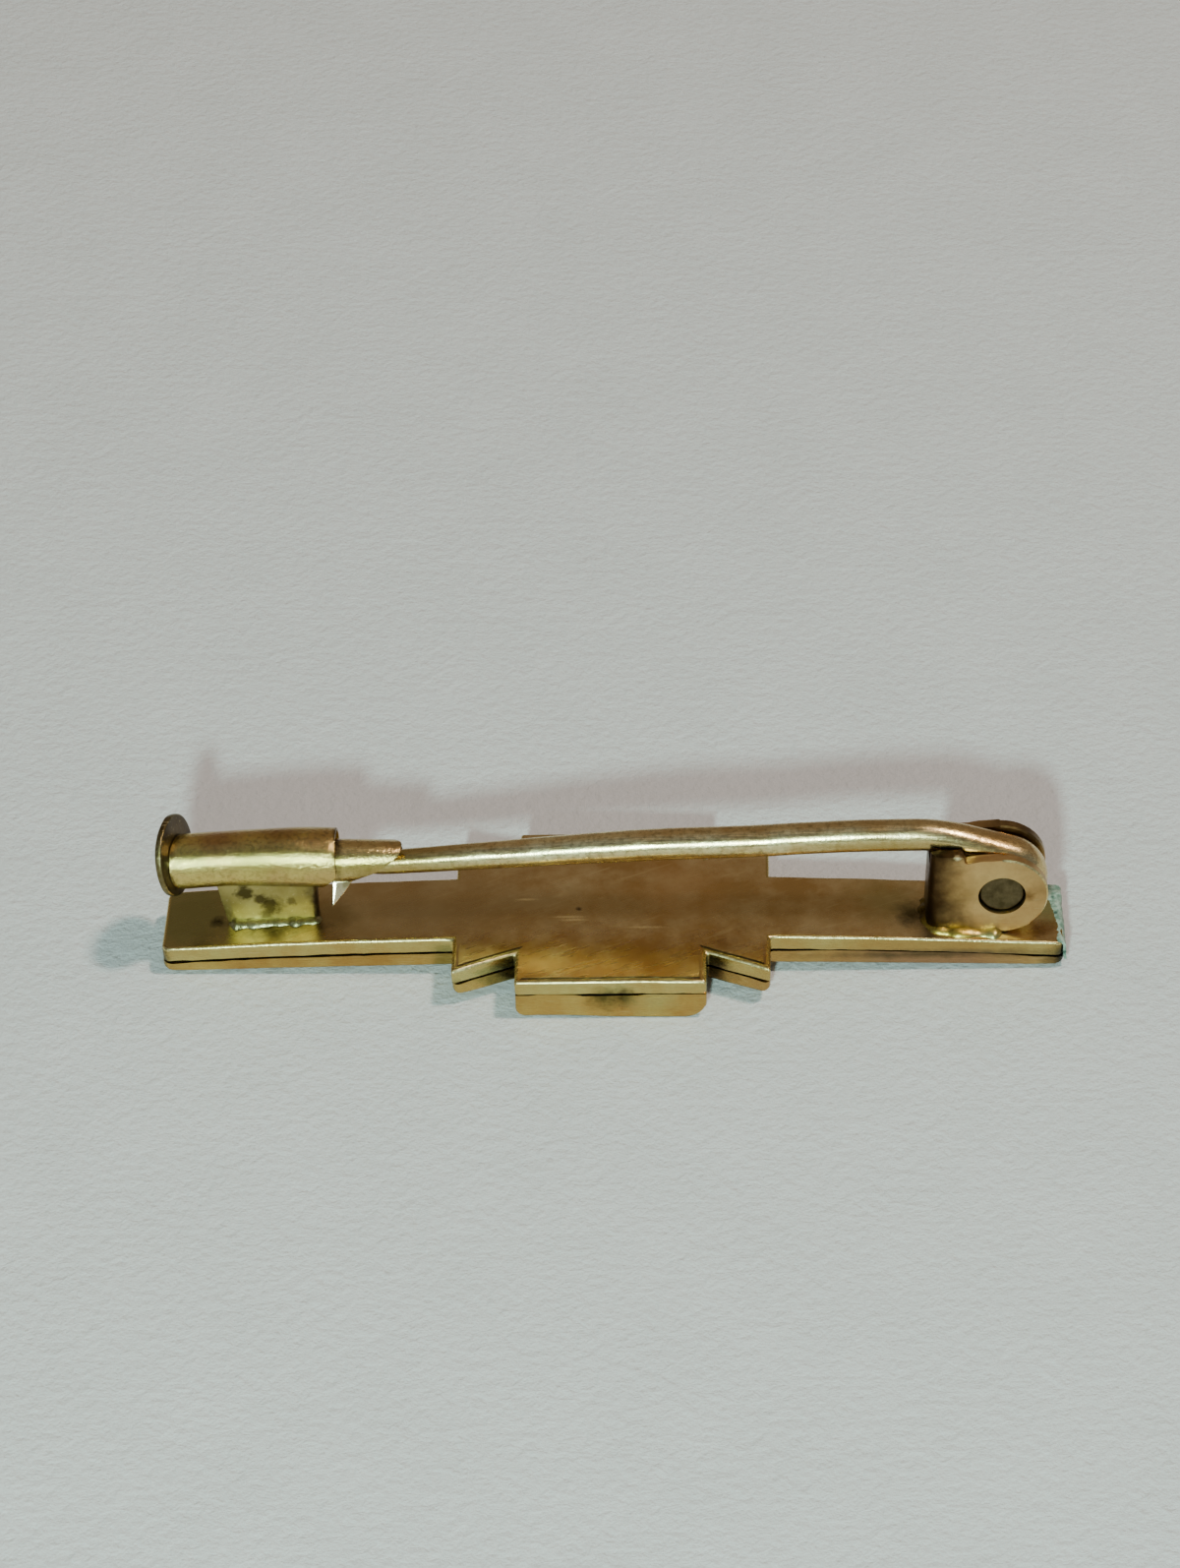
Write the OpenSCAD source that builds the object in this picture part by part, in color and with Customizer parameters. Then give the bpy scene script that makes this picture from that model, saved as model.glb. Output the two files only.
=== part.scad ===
// Bar brooch of gold, lying on its front with its pin and catch up.
// X runs along the bar to the hinge, Y across it and Z up from the front face that it rests on.

/* [Bar] */
// Length of the bar
bar_length = 40; // [36:0.5:56]
// Width of the bar beside the wings
bar_width_middle = 4.15; // [3.8:0.05:5]
// Width of the bar at its two ends
bar_width_end = 3.95; // [3.6:0.05:5]
// Height of the back face over the front face, at the middle
body_height = 2.12; // [1.9:0.02:3]
// Thickness of the back plate
back_thickness = 0.72; // [0.5:0.02:0.9]
// Open seam between the two plates
seam_gap = 0.08; // [0.04:0.01:0.15]
// How much lower the back face lies at the ends than at the middle
bow_drop = 0.67; // [0.3:0.01:0.9]
// Height of the arms' underside at the ends
arm_height_end = 0.16; // [0.05:0.01:0.4]
// Height of the arms' underside beside the wings
arm_height_middle = 0.5; // [0.3:0.01:0.8]

/* [Motif] */
// Length of the middle block, along the bar
block_length = 8.4; // [7:0.1:11]
// Width of the middle block, across the bar
block_width = 10.1; // [9:0.1:14]
// Radius of the block's ends underneath
block_rounding = 1; // [0.3:0.05:1.2]
// Distance from wing tip to wing tip, along the bar
wing_span = 14; // [12.5:0.1:17]
// Width across the wings at their tips
wing_width_tip = 8.5; // [7:0.1:8.8]
// Width across the wings where they meet the block
wing_width_root = 6.2; // [5.4:0.1:7]
// Height of the wings' underside
wing_height = 0.56; // [0.3:0.01:0.8]
// Radius of the corners of the outline
corner_radius = 0.22; // [0.1:0.01:0.35]

/* [Hinge] */
// Distance from the end of the bar to the rivet
hinge_inset = 2.8; // [2.6:0.05:4]
// Diameter of the rivet
rivet_diameter = 2; // [1.6:0.05:2.2]
// Depth of the rivet's ends below the faces of the ears
rivet_recess = 0.12; // [0:0.01:0.2]
// Width of the hinge joint over its two ears
joint_width = 2.84; // [2.6:0.02:3.4]
// Thickness of the sheet that the joint is bent from
ear_thickness = 0.5; // [0.4:0.02:0.58]
// Radius of the round end of each ear
ear_radius = 2.03; // [1.8:0.01:2.1]
// Distance from the rivet back to the web
joint_reach = 3.25; // [2.9:0.05:4]
// Outer radius of the bends between web and ears
bend_radius = 0.6; // [0.52:0.02:0.8]
// Length of the raised shoulder at the back of each ear
shoulder_length = 1.5; // [1:0.05:1.8]
// Height of the shoulder over the ear's flat top
shoulder_rise = 0.45; // [0.2:0.01:0.6]
// Depth of the joint's foot in the solder of the back plate
foot_depth = 0.2; // [0.1:0.01:0.3]
// Radius of the solder along the joint's foot
joint_solder = 0.36; // [0.2:0.01:0.45]

/* [Pin] */
// Diameter of the pin's wire
pin_diameter = 1.42; // [1.1:0.02:1.5]
// Diameter of the wire where it enters the catch
pin_diameter_catch = 1.08; // [0.8:0.02:1.14]
// Diameter of the blunt tip
pin_diameter_tip = 0.24; // [0.16:0.02:0.4]
// Length of the ground point
point_length = 2.6; // [1.8:0.1:2.8]
// Length of the pin inside the catch
pin_engagement = 3.05; // [2.6:0.05:3.2]
// Thickness of the eye round the rivet, radially
eye_thickness = 1.05; // [0.8:0.01:1.2]
// Width of the eye between the ears
eye_width = 1.6; // [1.3:0.02:1.7]
// Distance from the rivet back to the highest point of the wire
crest_reach = 3.7; // [3.2:0.1:5]
// Rise of the wire's axis over the eye's wire
crest_rise = 0.82; // [0.5:0.01:1]

/* [Catch] */
// Distance from the end of the bar to the end of the catch tube, at its axis
tube_inset = 0.91; // [0.75:0.01:2]
// Length of the catch tube, at its axis
tube_length = 7.04; // [6.4:0.01:9]
// Outer diameter of the catch tube
tube_diameter = 2.56; // [2.5:0.01:3]
// Wall of the catch tube
tube_wall = 0.12; // [0.1:0.01:0.15]
// Height of the tube's axis over the back face, at the tube's middle
tube_height = 3.35; // [3:0.05:4]
// Lean of the tube, higher at its mouth
tube_lean = 1.5; // [0:0.1:4]
// How far the underside is cut back at the mouth
mouth_cut_back = 0.95; // [0.6:0.05:1.1]
// How far the post stands behind the cut at the mouth
post_setback = 0.07; // [0:0.01:0.3]
// Length of the post at the tube
post_length_top = 4.45; // [3:0.05:4.6]
// Length of the post at the bar
post_length_base = 4.05; // [3:0.05:4.6]
// Depth of the post, across the bar
post_depth = 0.9; // [0.6:0.05:1.4]
// Radius of the solder along the post's foot
post_solder = 0.14; // [0.05:0.01:0.2]

/* [Slide] */
// Outer diameter of the slide
slide_diameter = 1.9; // [1.7:0.01:1.95]
// Wall of the slide
slide_wall = 0.15; // [0.12:0.01:0.18]
// Reach of the upper lip out of the tube
lip_reach = 2.9; // [2.2:0.02:3.4]
// How much further the upper lip reaches than the lower
mouth_slant = 2.5; // [1.8:0.05:2.6]
// Diameter of the flange
flange_diameter = 3.52; // [3:0.02:4]
// Thickness of the flange
flange_thickness = 0.26; // [0.2:0.01:0.35]
// Turn of the flange's inner face to the near side, which the end of the tube follows
flange_turn = 13.6; // [0:0.1:15]
// Tilt of the flange's inner face upward, which the end of the tube follows
flange_tilt = 8.2; // [0:0.1:12]
// Height of the flange's middle over the axis of the tube
flange_rise = 0.31; // [0:0.01:0.4]
// Width of the bent tab under the lower lip
tab_width = 0.92; // [0.6:0.02:1]
// Length of the tab
tab_length = 1.3; // [0.8:0.05:1.5]
// Thickness of the tab
tab_thickness = 0.18; // [0.12:0.01:0.24]

/* [Fits] */
// Space between the rivet and its holes in the ears
rivet_clearance = 0.015; // [0.01:0.005:0.03]
// Space between the rivet and the eye
eye_clearance = 0.03; // [0.02:0.005:0.06]
// Space between the eye and the bar
eye_bar_gap = 0.04; // [0.03:0.005:0.1]
// Space between the flange and the end of the tube
flange_gap = 0.05; // [0.03:0.01:0.15]
// Share of its play by which the slide lies low at the mouth
mouth_play_used = 0.9; // [0:0.05:0.9]
// Share of its play by which the slide lies high at the outer end
end_play_used = 0.3; // [0:0.05:0.9]
// Turn of that lean from straight down toward the near side
lean_turn = 40; // [0:5:90]

/* [Hidden] */

$fn = 64;
bow_steps = 20;
corner_steps = 4;
pin_sides = 16;
stem_stations = 26;
shoulder_stations = 8;
through = 1;

half_bar = bar_length / 2;
bow_radius = (half_bar * half_bar + bow_drop * bow_drop) / (2 * bow_drop);

hinge_x = half_bar - hinge_inset;
rivet_radius = rivet_diameter / 2;
eye_inner = rivet_radius + eye_clearance;
eye_outer = eye_inner + eye_thickness;
eye_middle = (eye_inner + eye_outer) / 2;
hinge_z = back_z(hinge_x) + eye_outer + eye_bar_gap;
joint_back_x = hinge_x - joint_reach;
joint_gap = joint_width - 2 * ear_thickness;
ear_top_z = hinge_z + ear_radius;
ear_fall = 0.15;
notch_length = 0.25;
shoulder_top_z = ear_top_z + shoulder_rise - ear_fall;

tube_reach = cos(tube_lean) * tube_length / 2;
tube_x = -half_bar + tube_inset + tube_reach;
tube_z = back_z(tube_x) + tube_height;
tube_radius = tube_diameter / 2;
tube_bore = tube_radius - tube_wall;
post_right_x = tube_x + tube_reach - mouth_cut_back - post_setback;
post_left_x = post_right_x - post_length_base;

slide_radius = slide_diameter / 2;
slide_bore = slide_radius - slide_wall;
slide_play = tube_bore - slide_radius;
slide_shift = slide_play * (mouth_play_used - end_play_used) / 2;
slide_slope = slide_play * (mouth_play_used + end_play_used) / tube_length;
slide_pitch = atan(slide_slope * cos(lean_turn));
slide_yaw = atan(slide_slope * sin(lean_turn));
lip_x = tube_length / 2 + lip_reach;

crest_x = hinge_x - crest_reach;
crest_z = hinge_z + eye_middle + crest_rise;
takeoff_angle = 75;
takeoff_x = hinge_x + eye_middle * cos(takeoff_angle);
takeoff_z = hinge_z + eye_middle * sin(takeoff_angle);
tip_x = tube_x + lip_x - pin_engagement;
tip_drop_share = 0.62;
tip_drop = tip_drop_share * (slide_bore - pin_diameter_tip / 2);
slide_z = tube_z - slide_shift * cos(lean_turn);
slide_axis_z = slide_z + (tip_x - tube_x) * tan(tube_lean - slide_pitch);
tip_z = slide_axis_z - tip_drop;
stem_bend_share = 0.49;
shoulder_bend_share = 0.52;
full_wire_share = 0.5;

tab_overlap = 0.25;
tab_lean = 0.08;
tab_heel_share = 0.6;

GOLD = "#a8894a";
GOLD_DARK = "#7a5a28";
GOLD_PALE = "#b39a63";
RIVET_GREY = "#55503a";
FLANGE_BROWN = "#8d7440";

// Height of the back face over the floor at x
function back_z(x) = body_height - bow_radius + sqrt(bow_radius * bow_radius - x * x);

// Line along the bar that follows the bow, this far under the back face
function bow_line(depth) = [for (i = [-bow_steps : bow_steps])
    let (x = half_bar * i / bow_steps)
    [x, back_z(x) - depth]];

// Fall of a wire that leaves level and runs straight after the share of its length given by bend
function fall(share, bend) =
    share < bend ? share * share / (bend * (2 - bend)) : (2 * share - bend) / (2 - bend);

// Corner of a polygon drawn as a short curve between its two sides
function corner(before, at, after, radius) =
    let (start = at + radius * (before - at) / norm(before - at))
    let (end = at + radius * (after - at) / norm(after - at))
    [for (i = [0 : corner_steps])
        let (t = i / corner_steps)
        (1 - t) * (1 - t) * start + 2 * t * (1 - t) * at + t * t * end];

function rounded(points, radius) =
    let (count = len(points))
    [for (i = [0 : count - 1])
        each corner(points[(i + count - 1) % count], points[i], points[(i + 1) % count], radius)];

// One quarter of the outline, from the end of the bar to the corner of the block
function quarter_outline() = [
    [half_bar, bar_width_end / 2],
    [wing_span / 2, bar_width_middle / 2],
    [wing_span / 2, wing_width_tip / 2],
    [block_length / 2, wing_width_root / 2],
    [block_length / 2, block_width / 2]
];

function reversed(list) = [for (i = [len(list) - 1 : -1 : 0]) list[i]];

function outline() =
    let (quarter = quarter_outline())
    let (half = concat(quarter, [for (p = reversed(quarter)) [-p.x, p.y]]))
    concat(half, [for (p = reversed(half)) [p.x, -p.y]]);

// Side view of the front plate's arms and wings, without the block
function arms_side() =
    let (half = [
        [half_bar, arm_height_end],
        [wing_span / 2, arm_height_middle],
        [wing_span / 2, wing_height]
    ])
    concat(
        half,
        [for (p = reversed(half)) [-p.x, p.y]],
        bow_line(back_thickness + seam_gap)
    );

// Side view of the block, with its two ends rounded underneath
function block_side() =
    let (half = [for (a = [0 : 15 : 90])
        [block_length / 2 - block_rounding * (1 - cos(a)), block_rounding * (1 - sin(a))]])
    concat(
        half,
        [for (p = reversed(half)) [-p.x, p.y]],
        [[-block_length / 2, body_height / 2], [block_length / 2, body_height / 2]]
    );

module along_y(length) {
    rotate([90, 0, 0])
        translate([0, 0, -length / 2])
            linear_extrude(length) children();
}

module plan_prism() {
    translate([0, 0, -through])
        linear_extrude(body_height + 2 * through) polygon(rounded(outline(), corner_radius));
}

module plate_layer() {
    intersection() {
        plan_prism();
        along_y(block_width + 2 * through)
            polygon(concat(bow_line(0), reversed(bow_line(back_thickness))));
    }
}

module joint_sheet() {
    joint_end_x = hinge_x + ear_radius;
    translate([0, 0, -through])
        linear_extrude(shoulder_top_z + 2 * through) {
            difference() {
                union() {
                    translate([joint_back_x + bend_radius, -joint_width / 2])
                        square([joint_end_x - joint_back_x - bend_radius, joint_width]);
                    translate([joint_back_x, bend_radius - joint_width / 2])
                        square([2 * bend_radius, joint_width - 2 * bend_radius]);
                    for (side = [-1, 1])
                        translate([joint_back_x + bend_radius, side * (joint_width / 2 - bend_radius)])
                            circle(r = bend_radius);
                }
                translate([joint_back_x + ear_thickness, -joint_gap / 2])
                    square([joint_end_x - joint_back_x, joint_gap]);
            }
        }
}

module ear_side() {
    foot_z = back_z(hinge_x) - foot_depth;
    shoulder_x = joint_back_x + shoulder_length;
    translate([hinge_x, 0, hinge_z])
        rotate([90, 0, 0])
            cylinder(r = ear_radius, h = joint_width + through, center = true);
    along_y(joint_width + through)
        polygon([
            [joint_back_x, foot_z],
            [hinge_x - ear_radius / 4, foot_z],
            [hinge_x, hinge_z],
            [hinge_x, ear_top_z],
            [shoulder_x + notch_length, ear_top_z - ear_fall],
            [shoulder_x, shoulder_top_z],
            [joint_back_x, shoulder_top_z]
        ]);
}

module hinge_joint() {
    web_top_z = crest_z - pin_diameter / 2 - ear_fall;
    far_ear_back = shoulder_length + notch_length + through;
    difference() {
        intersection() {
            joint_sheet();
            ear_side();
        }
        translate([joint_back_x - through, -joint_gap / 2, web_top_z])
            cube([joint_reach, joint_gap, shoulder_top_z]);
        translate([joint_back_x - through, joint_gap / 2, ear_top_z - ear_fall])
            cube([far_ear_back, joint_width, shoulder_top_z]);
        translate([hinge_x, 0, hinge_z])
            rotate([90, 0, 0])
                cylinder(r = rivet_radius + rivet_clearance, h = joint_width + 2 * through, center = true);
    }
}

// Run of solder along a foot: a quarter-round bead that follows the bow, at the side given by its sign
module solder_run(start_x, end_x, face_y, side, radius) {
    slope = atan((back_z(start_x) - back_z(end_x)) / (end_x - start_x));
    length = norm([end_x - start_x, back_z(end_x) - back_z(start_x)]);
    sink = foot_depth / 2;
    bead = concat(
        [[-sink, -sink], [radius, -sink]],
        [for (a = [0 : 15 : 90]) [radius * cos(a), radius * sin(a)]],
        [[-sink, radius]]
    );
    translate([start_x, side * face_y, back_z(start_x)])
        rotate([0, slope, 0])
            rotate([90, 0, 90])
                linear_extrude(length) polygon([for (p = bead) [side * p.x, p.y]]);
}

// Places its children on the middle of the tube's axis, with X along it to the mouth
module tube_frame() {
    translate([tube_x, 0, tube_z]) rotate([0, -tube_lean, 0]) children();
}

// Places its children at the end of the tube, with X along the flange's axis into the tube
module flange_frame() {
    tube_frame()
        translate([-tube_length / 2, 0, 0])
            rotate([0, -flange_tilt, -flange_turn]) children();
}

module tube_shell() {
    mouth_angle = atan(mouth_cut_back / tube_radius);
    difference() {
        tube_frame()
            translate([-tube_length / 2 - tube_radius, 0, 0])
                rotate([0, 90, 0]) cylinder(r = tube_radius, h = tube_length + tube_radius);
        tube_frame()
            translate([tube_length / 2, -tube_diameter, 0])
                rotate([0, mouth_angle, 0])
                    translate([0, 0, -2 * tube_diameter])
                        cube(2 * tube_diameter);
        flange_frame()
            translate([flange_gap - 2 * tube_diameter, -tube_diameter, -tube_diameter])
                cube(2 * tube_diameter);
    }
}

module catch_post() {
    foot_z = back_z(post_right_x) - foot_depth;
    along_y(post_depth)
        polygon([
            [post_left_x, foot_z],
            [post_right_x, foot_z],
            [post_right_x, tube_z],
            [post_right_x - post_length_top, tube_z]
        ]);
}

module back_plate() {
    color(GOLD_DARK)
        difference() {
            union() {
                plate_layer();
                hinge_joint();
                for (side = [-1, 1])
                    solder_run(joint_back_x + bend_radius, hinge_x, joint_width / 2, side, joint_solder);
                catch_post();
                for (side = [-1, 1])
                    solder_run(post_left_x, post_right_x, post_depth / 2, side, post_solder);
                tube_shell();
            }
            tube_frame()
                rotate([0, 90, 0]) cylinder(r = tube_bore, h = 2 * tube_length, center = true);
        }
}

module front_plate() {
    color(GOLD)
        intersection() {
            plan_prism();
            union() {
                along_y(block_width + 2 * through) polygon(arms_side());
                along_y(block_width + 2 * through) polygon(block_side());
            }
        }
}

module hinge_rivet() {
    color(RIVET_GREY)
        translate([hinge_x, 0, hinge_z])
            rotate([90, 0, 0])
                cylinder(r = rivet_radius, h = joint_width - 2 * rivet_recess, center = true);
}

// Axis of the wire from its tip to the eye
function stem_axis() = concat(
    [for (i = [stem_stations : -1 : 0])
        let (share = i / stem_stations)
        [crest_x + share * (tip_x - crest_x), crest_z + (tip_z - crest_z) * fall(share, stem_bend_share)]],
    [for (i = [1 : shoulder_stations])
        let (share = i / shoulder_stations)
        let (drop = (crest_z - takeoff_z) * fall(share, shoulder_bend_share))
        [crest_x + share * (takeoff_x - crest_x), crest_z - drop]]
);

// Radius of the wire: a ground point, a slow taper and the flattened end at the eye
function wire_radius(x) =
    let (point_share = (x - tip_x) / point_length)
    let (taper_share = (x - tip_x - point_length) / (full_wire_share * (crest_x - tip_x) - point_length))
    let (eye_share = (x - crest_x) / (takeoff_x - crest_x))
    let (diameter =
        point_share < 1 ? pin_diameter_tip + (pin_diameter_catch - pin_diameter_tip) * sin(90 * point_share) :
        taper_share < 1 ? pin_diameter_catch + (pin_diameter - pin_diameter_catch) * taper_share :
        eye_share < 0 ? pin_diameter :
        pin_diameter + (eye_thickness - pin_diameter) * eye_share)
    diameter / 2;

module wire_sweep(axis) {
    count = len(axis);
    points = [for (i = [0 : count - 1])
        let (ahead = axis[min(i + 1, count - 1)] - axis[max(i - 1, 0)])
        let (along = ahead / norm(ahead))
        let (radius = wire_radius(axis[i].x))
        for (k = [0 : pin_sides - 1])
            let (a = 360 * k / pin_sides)
            let (lift = radius * sin(a))
            [axis[i].x - lift * along.y, radius * cos(a), axis[i].y + lift * along.x]];
    sides = [for (i = [0 : count - 2])
        for (k = [0 : pin_sides - 1])
            let (next = (k + 1) % pin_sides)
            [i * pin_sides + k, (i + 1) * pin_sides + k, (i + 1) * pin_sides + next, i * pin_sides + next]];
    start_cap = [for (k = [0 : pin_sides - 1]) k];
    end_cap = [for (k = [pin_sides - 1 : -1 : 0]) (count - 1) * pin_sides + k];
    polyhedron(points = points, faces = concat(sides, [start_cap, end_cap]), convexity = 4);
}

module pin_eye() {
    round_radius = eye_thickness / 2;
    flat = eye_width / 2 - round_radius;
    translate([hinge_x, 0, hinge_z])
        rotate([90, 0, 0])
            rotate_extrude()
                translate([eye_middle, 0]) {
                    for (side = [-1, 1])
                        translate([0, side * flat]) circle(r = round_radius);
                    translate([-round_radius, -flat]) square([eye_thickness, 2 * flat]);
                }
}

module pin_stem() {
    color(GOLD_PALE) {
        wire_sweep(stem_axis());
        pin_eye();
    }
}

module flange() {
    flange_frame()
        translate([0, 0, flange_rise])
            rotate([0, -90, 0]) cylinder(r = flange_diameter / 2, h = flange_thickness);
}

// Places its children on the middle of the slide's axis, which leans in the tube
module slide_frame() {
    tube_frame()
        translate([0, -slide_shift * sin(lean_turn), -slide_shift * cos(lean_turn)])
            rotate([0, slide_pitch, -slide_yaw]) children();
}

module slide_tab() {
    tab_x = lip_x - mouth_slant - tab_width + tab_overlap;
    root_z = -slide_radius + slide_wall / 2;
    translate([0, -slide_radius / 4, 0])
        along_y(tab_thickness)
            polygon([
                [tab_x, root_z],
                [tab_x - tab_lean, root_z - tab_length],
                [tab_x + tab_width / 2, root_z - tab_heel_share * tab_length],
                [tab_x + tab_width, root_z]
            ]);
}

module catch_slide() {
    start_x = -tube_length / 2 - slide_diameter;
    mouth_angle = atan(mouth_slant / slide_diameter);
    color(FLANGE_BROWN)
        difference() {
            union() {
                slide_frame() {
                    translate([start_x, 0, 0])
                        rotate([0, 90, 0]) cylinder(r = slide_radius, h = lip_x - start_x);
                    slide_tab();
                }
                flange();
            }
            slide_frame() {
                translate([2 * start_x, 0, 0])
                    rotate([0, 90, 0]) cylinder(r = slide_bore, h = lip_x - 2 * start_x);
                translate([lip_x, -slide_diameter, slide_radius])
                    rotate([0, mouth_angle, 0])
                        translate([0, 0, -3 * mouth_slant])
                            cube([2 * mouth_slant, 2 * slide_diameter, 3 * mouth_slant]);
            }
            flange_frame()
                translate([-flange_thickness - 2 * flange_diameter, -flange_diameter, -flange_diameter])
                    cube(2 * flange_diameter);
        }
}

back_plate();
front_plate();
hinge_rivet();
pin_stem();
catch_slide();
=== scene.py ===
# %% [markdown]
# # A gold bar brooch, lying on its front
# A bar brooch is a slim bar of gold with a pin on its back. This one lies face down, so the lesson
# dresses the side that its owner seldom sees: the flat back, the hinge, the pin and the tube catch.
# The solids come from the packed model. They are loaded first and stay where they are, and each new
# piece rides on one of their bodies, so that it moves as the real one does. The noise that wears
# the shapes gets a fixed seed, because it would give another brooch each run without one.

# %% Load the packed model
import math

import bmesh
import bpy
from mathutils import Matrix, Vector, noise


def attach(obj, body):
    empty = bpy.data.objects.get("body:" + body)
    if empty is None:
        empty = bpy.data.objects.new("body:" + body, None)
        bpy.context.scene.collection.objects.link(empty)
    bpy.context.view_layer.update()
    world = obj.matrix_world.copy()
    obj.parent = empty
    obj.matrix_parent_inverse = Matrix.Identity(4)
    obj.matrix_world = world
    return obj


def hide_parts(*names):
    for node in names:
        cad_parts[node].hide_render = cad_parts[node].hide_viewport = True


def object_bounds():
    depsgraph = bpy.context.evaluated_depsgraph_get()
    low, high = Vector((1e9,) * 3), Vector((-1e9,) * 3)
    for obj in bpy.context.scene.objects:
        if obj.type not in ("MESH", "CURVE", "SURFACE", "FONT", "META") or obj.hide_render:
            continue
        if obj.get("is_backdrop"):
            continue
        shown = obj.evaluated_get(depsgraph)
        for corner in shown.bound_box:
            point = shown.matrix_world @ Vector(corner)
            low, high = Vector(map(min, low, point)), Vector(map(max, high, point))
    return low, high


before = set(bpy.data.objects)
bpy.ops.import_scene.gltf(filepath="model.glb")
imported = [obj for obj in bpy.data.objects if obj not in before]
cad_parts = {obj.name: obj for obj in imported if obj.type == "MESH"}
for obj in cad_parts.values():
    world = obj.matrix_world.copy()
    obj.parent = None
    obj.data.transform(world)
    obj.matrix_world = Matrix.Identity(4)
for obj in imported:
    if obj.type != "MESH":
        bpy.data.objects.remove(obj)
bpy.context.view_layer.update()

MM = 0.001
NOISE_SEED = 7
noise.seed_set(NOISE_SEED)

# %% [markdown]
# ## The camera
# The picture was taken from in front of the bar and above it, at close to forty degrees, with a
# long lens. The camera's place and its three axes were found by fitting a pinhole camera to corners
# of the bar, so they are given as numbers, and the quaternion keeps the axes at right angles.

# %% Set the camera
camera_axes = Matrix(((0.99948, 0.01877, -0.02639), (0.0084, 0.63657, 0.77117), (0.03127, -0.77099, 0.63608)))
camera_place = Vector((5.631, -158.445, 139.872)) * MM
camera_data = bpy.data.cameras.new("camera")
camera_data.sensor_fit = "HORIZONTAL"
camera_data.sensor_width = 36.0
camera_data.lens = 144.0
camera_data.clip_start = 0.01
camera = bpy.data.objects.new("camera", camera_data)
turn = camera_axes.transposed().to_quaternion().to_matrix().to_4x4()
camera.matrix_world = Matrix.Translation(camera_place) @ turn
bpy.context.scene.collection.objects.link(camera)
bpy.context.scene.camera = camera
print("camera", [round(v / MM, 1) for v in camera_place], "mm, lens", camera_data.lens)

# %% [markdown]
# ## Helpers
# Colours are picked as sRGB hex codes, as a screen shows them, but shaders work in linear values,
# so one function turns one into the other. A second one adds a shader node with its inputs and its
# settings, where an input is either a number or a socket to link. A third one starts a material
# and hands out the coordinates for its patterns. The last gives the scale of a pattern from the size
# that it has on the real metal, in millimetres.

# %% Colour, node and scale helpers
def to_linear(hex_code):
    """An sRGB hex colour as linear red, green, blue and alpha."""
    parts = [int(hex_code[i:i + 2], 16) / 255 for i in (1, 3, 5)]
    return [v / 12.92 if v <= 0.04045 else ((v + 0.055) / 1.055) ** 2.4 for v in parts] + [1.0]


def add_node(tree, kind, inputs, **settings):
    """One shader node of a kind, with its inputs as values or linked sockets, and its settings."""
    node = tree.nodes.new("ShaderNode" + kind)
    for name, value in settings.items():
        setattr(node, name, value)
    for name, value in inputs.items():
        if isinstance(value, bpy.types.NodeSocket):
            tree.links.new(value, node.inputs[name])
        else:
            node.inputs[name].default_value = value
    return node


def new_finish(name):
    """A material with an empty node tree, and the object coordinates for its patterns."""
    material = bpy.data.materials.new(name)
    material.use_nodes = True
    tree = material.node_tree
    tree.nodes.clear()
    return material, tree, add_node(tree, "TexCoord", {}).outputs["Object"]


def scale_for(size_mm):
    """Scale of a pattern whose features are this many millimetres long, in a scene in metres."""
    return 1 / (size_mm * MM)


print("mid grey #808080 is", round(to_linear("#808080")[0], 3), "in linear light")

# %% [markdown]
# ## Stains and scratches
# Wear is never even. A stain is dark round one spot and has a ragged border, so its mask is the
# distance to a point with some noise added. Where an axis is squeezed, the stain comes out longer
# that way, down to a thin line. A scratch is a noise pulled out in one direction and kept only where
# it is strongest. Both give a mask that any metal of the brooch can use.

# %% Masks for stains and scratches
def stain_mask(tree, place, centre, radius, softness=0.5, squeeze=(1, 1, 1)):
    """Mask round a point in mm that fades out at a radius, with a ragged border."""
    squeezed = add_node(tree, "VectorMath", {
        0: place, 1: squeeze}, operation="MULTIPLY").outputs["Vector"]
    away = add_node(tree, "VectorMath", {
        0: squeezed, 1: [v * MM * s for v, s in zip(centre, squeeze)]}, operation="DISTANCE").outputs["Value"]
    ragged = add_node(tree, "TexNoise", {
        "Vector": place, "Scale": scale_for(0.7 * radius), "Detail": 4.0, "Roughness": 0.65}).outputs["Fac"]
    border = add_node(tree, "Math", {
        0: ragged, 1: 1.6 * radius * MM, 2: away}, operation="MULTIPLY_ADD").outputs["Value"]
    return add_node(tree, "MapRange", {
        "Value": border, "From Min": (1.5 - softness) * radius * MM,
        "From Max": (1.5 + softness) * radius * MM, "To Min": 1.0, "To Max": 0.0}).outputs["Result"]


def scratch_pattern(tree, place, turn, length, width_mm):
    """Noise drawn out into scratches, this many times longer than wide, turned about Z in degrees."""
    lines = add_node(tree, "Mapping", {
        "Vector": place, "Rotation": (0.0, 0.0, math.radians(turn)),
        "Scale": (length, 1.0, 1.0)}, vector_type="TEXTURE")
    return add_node(tree, "TexNoise", {
        "Vector": lines.outputs["Vector"], "Scale": scale_for(width_mm), "Detail": 2.0}).outputs["Fac"]


print("masks:", stain_mask.__name__, scratch_pattern.__name__)
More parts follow.
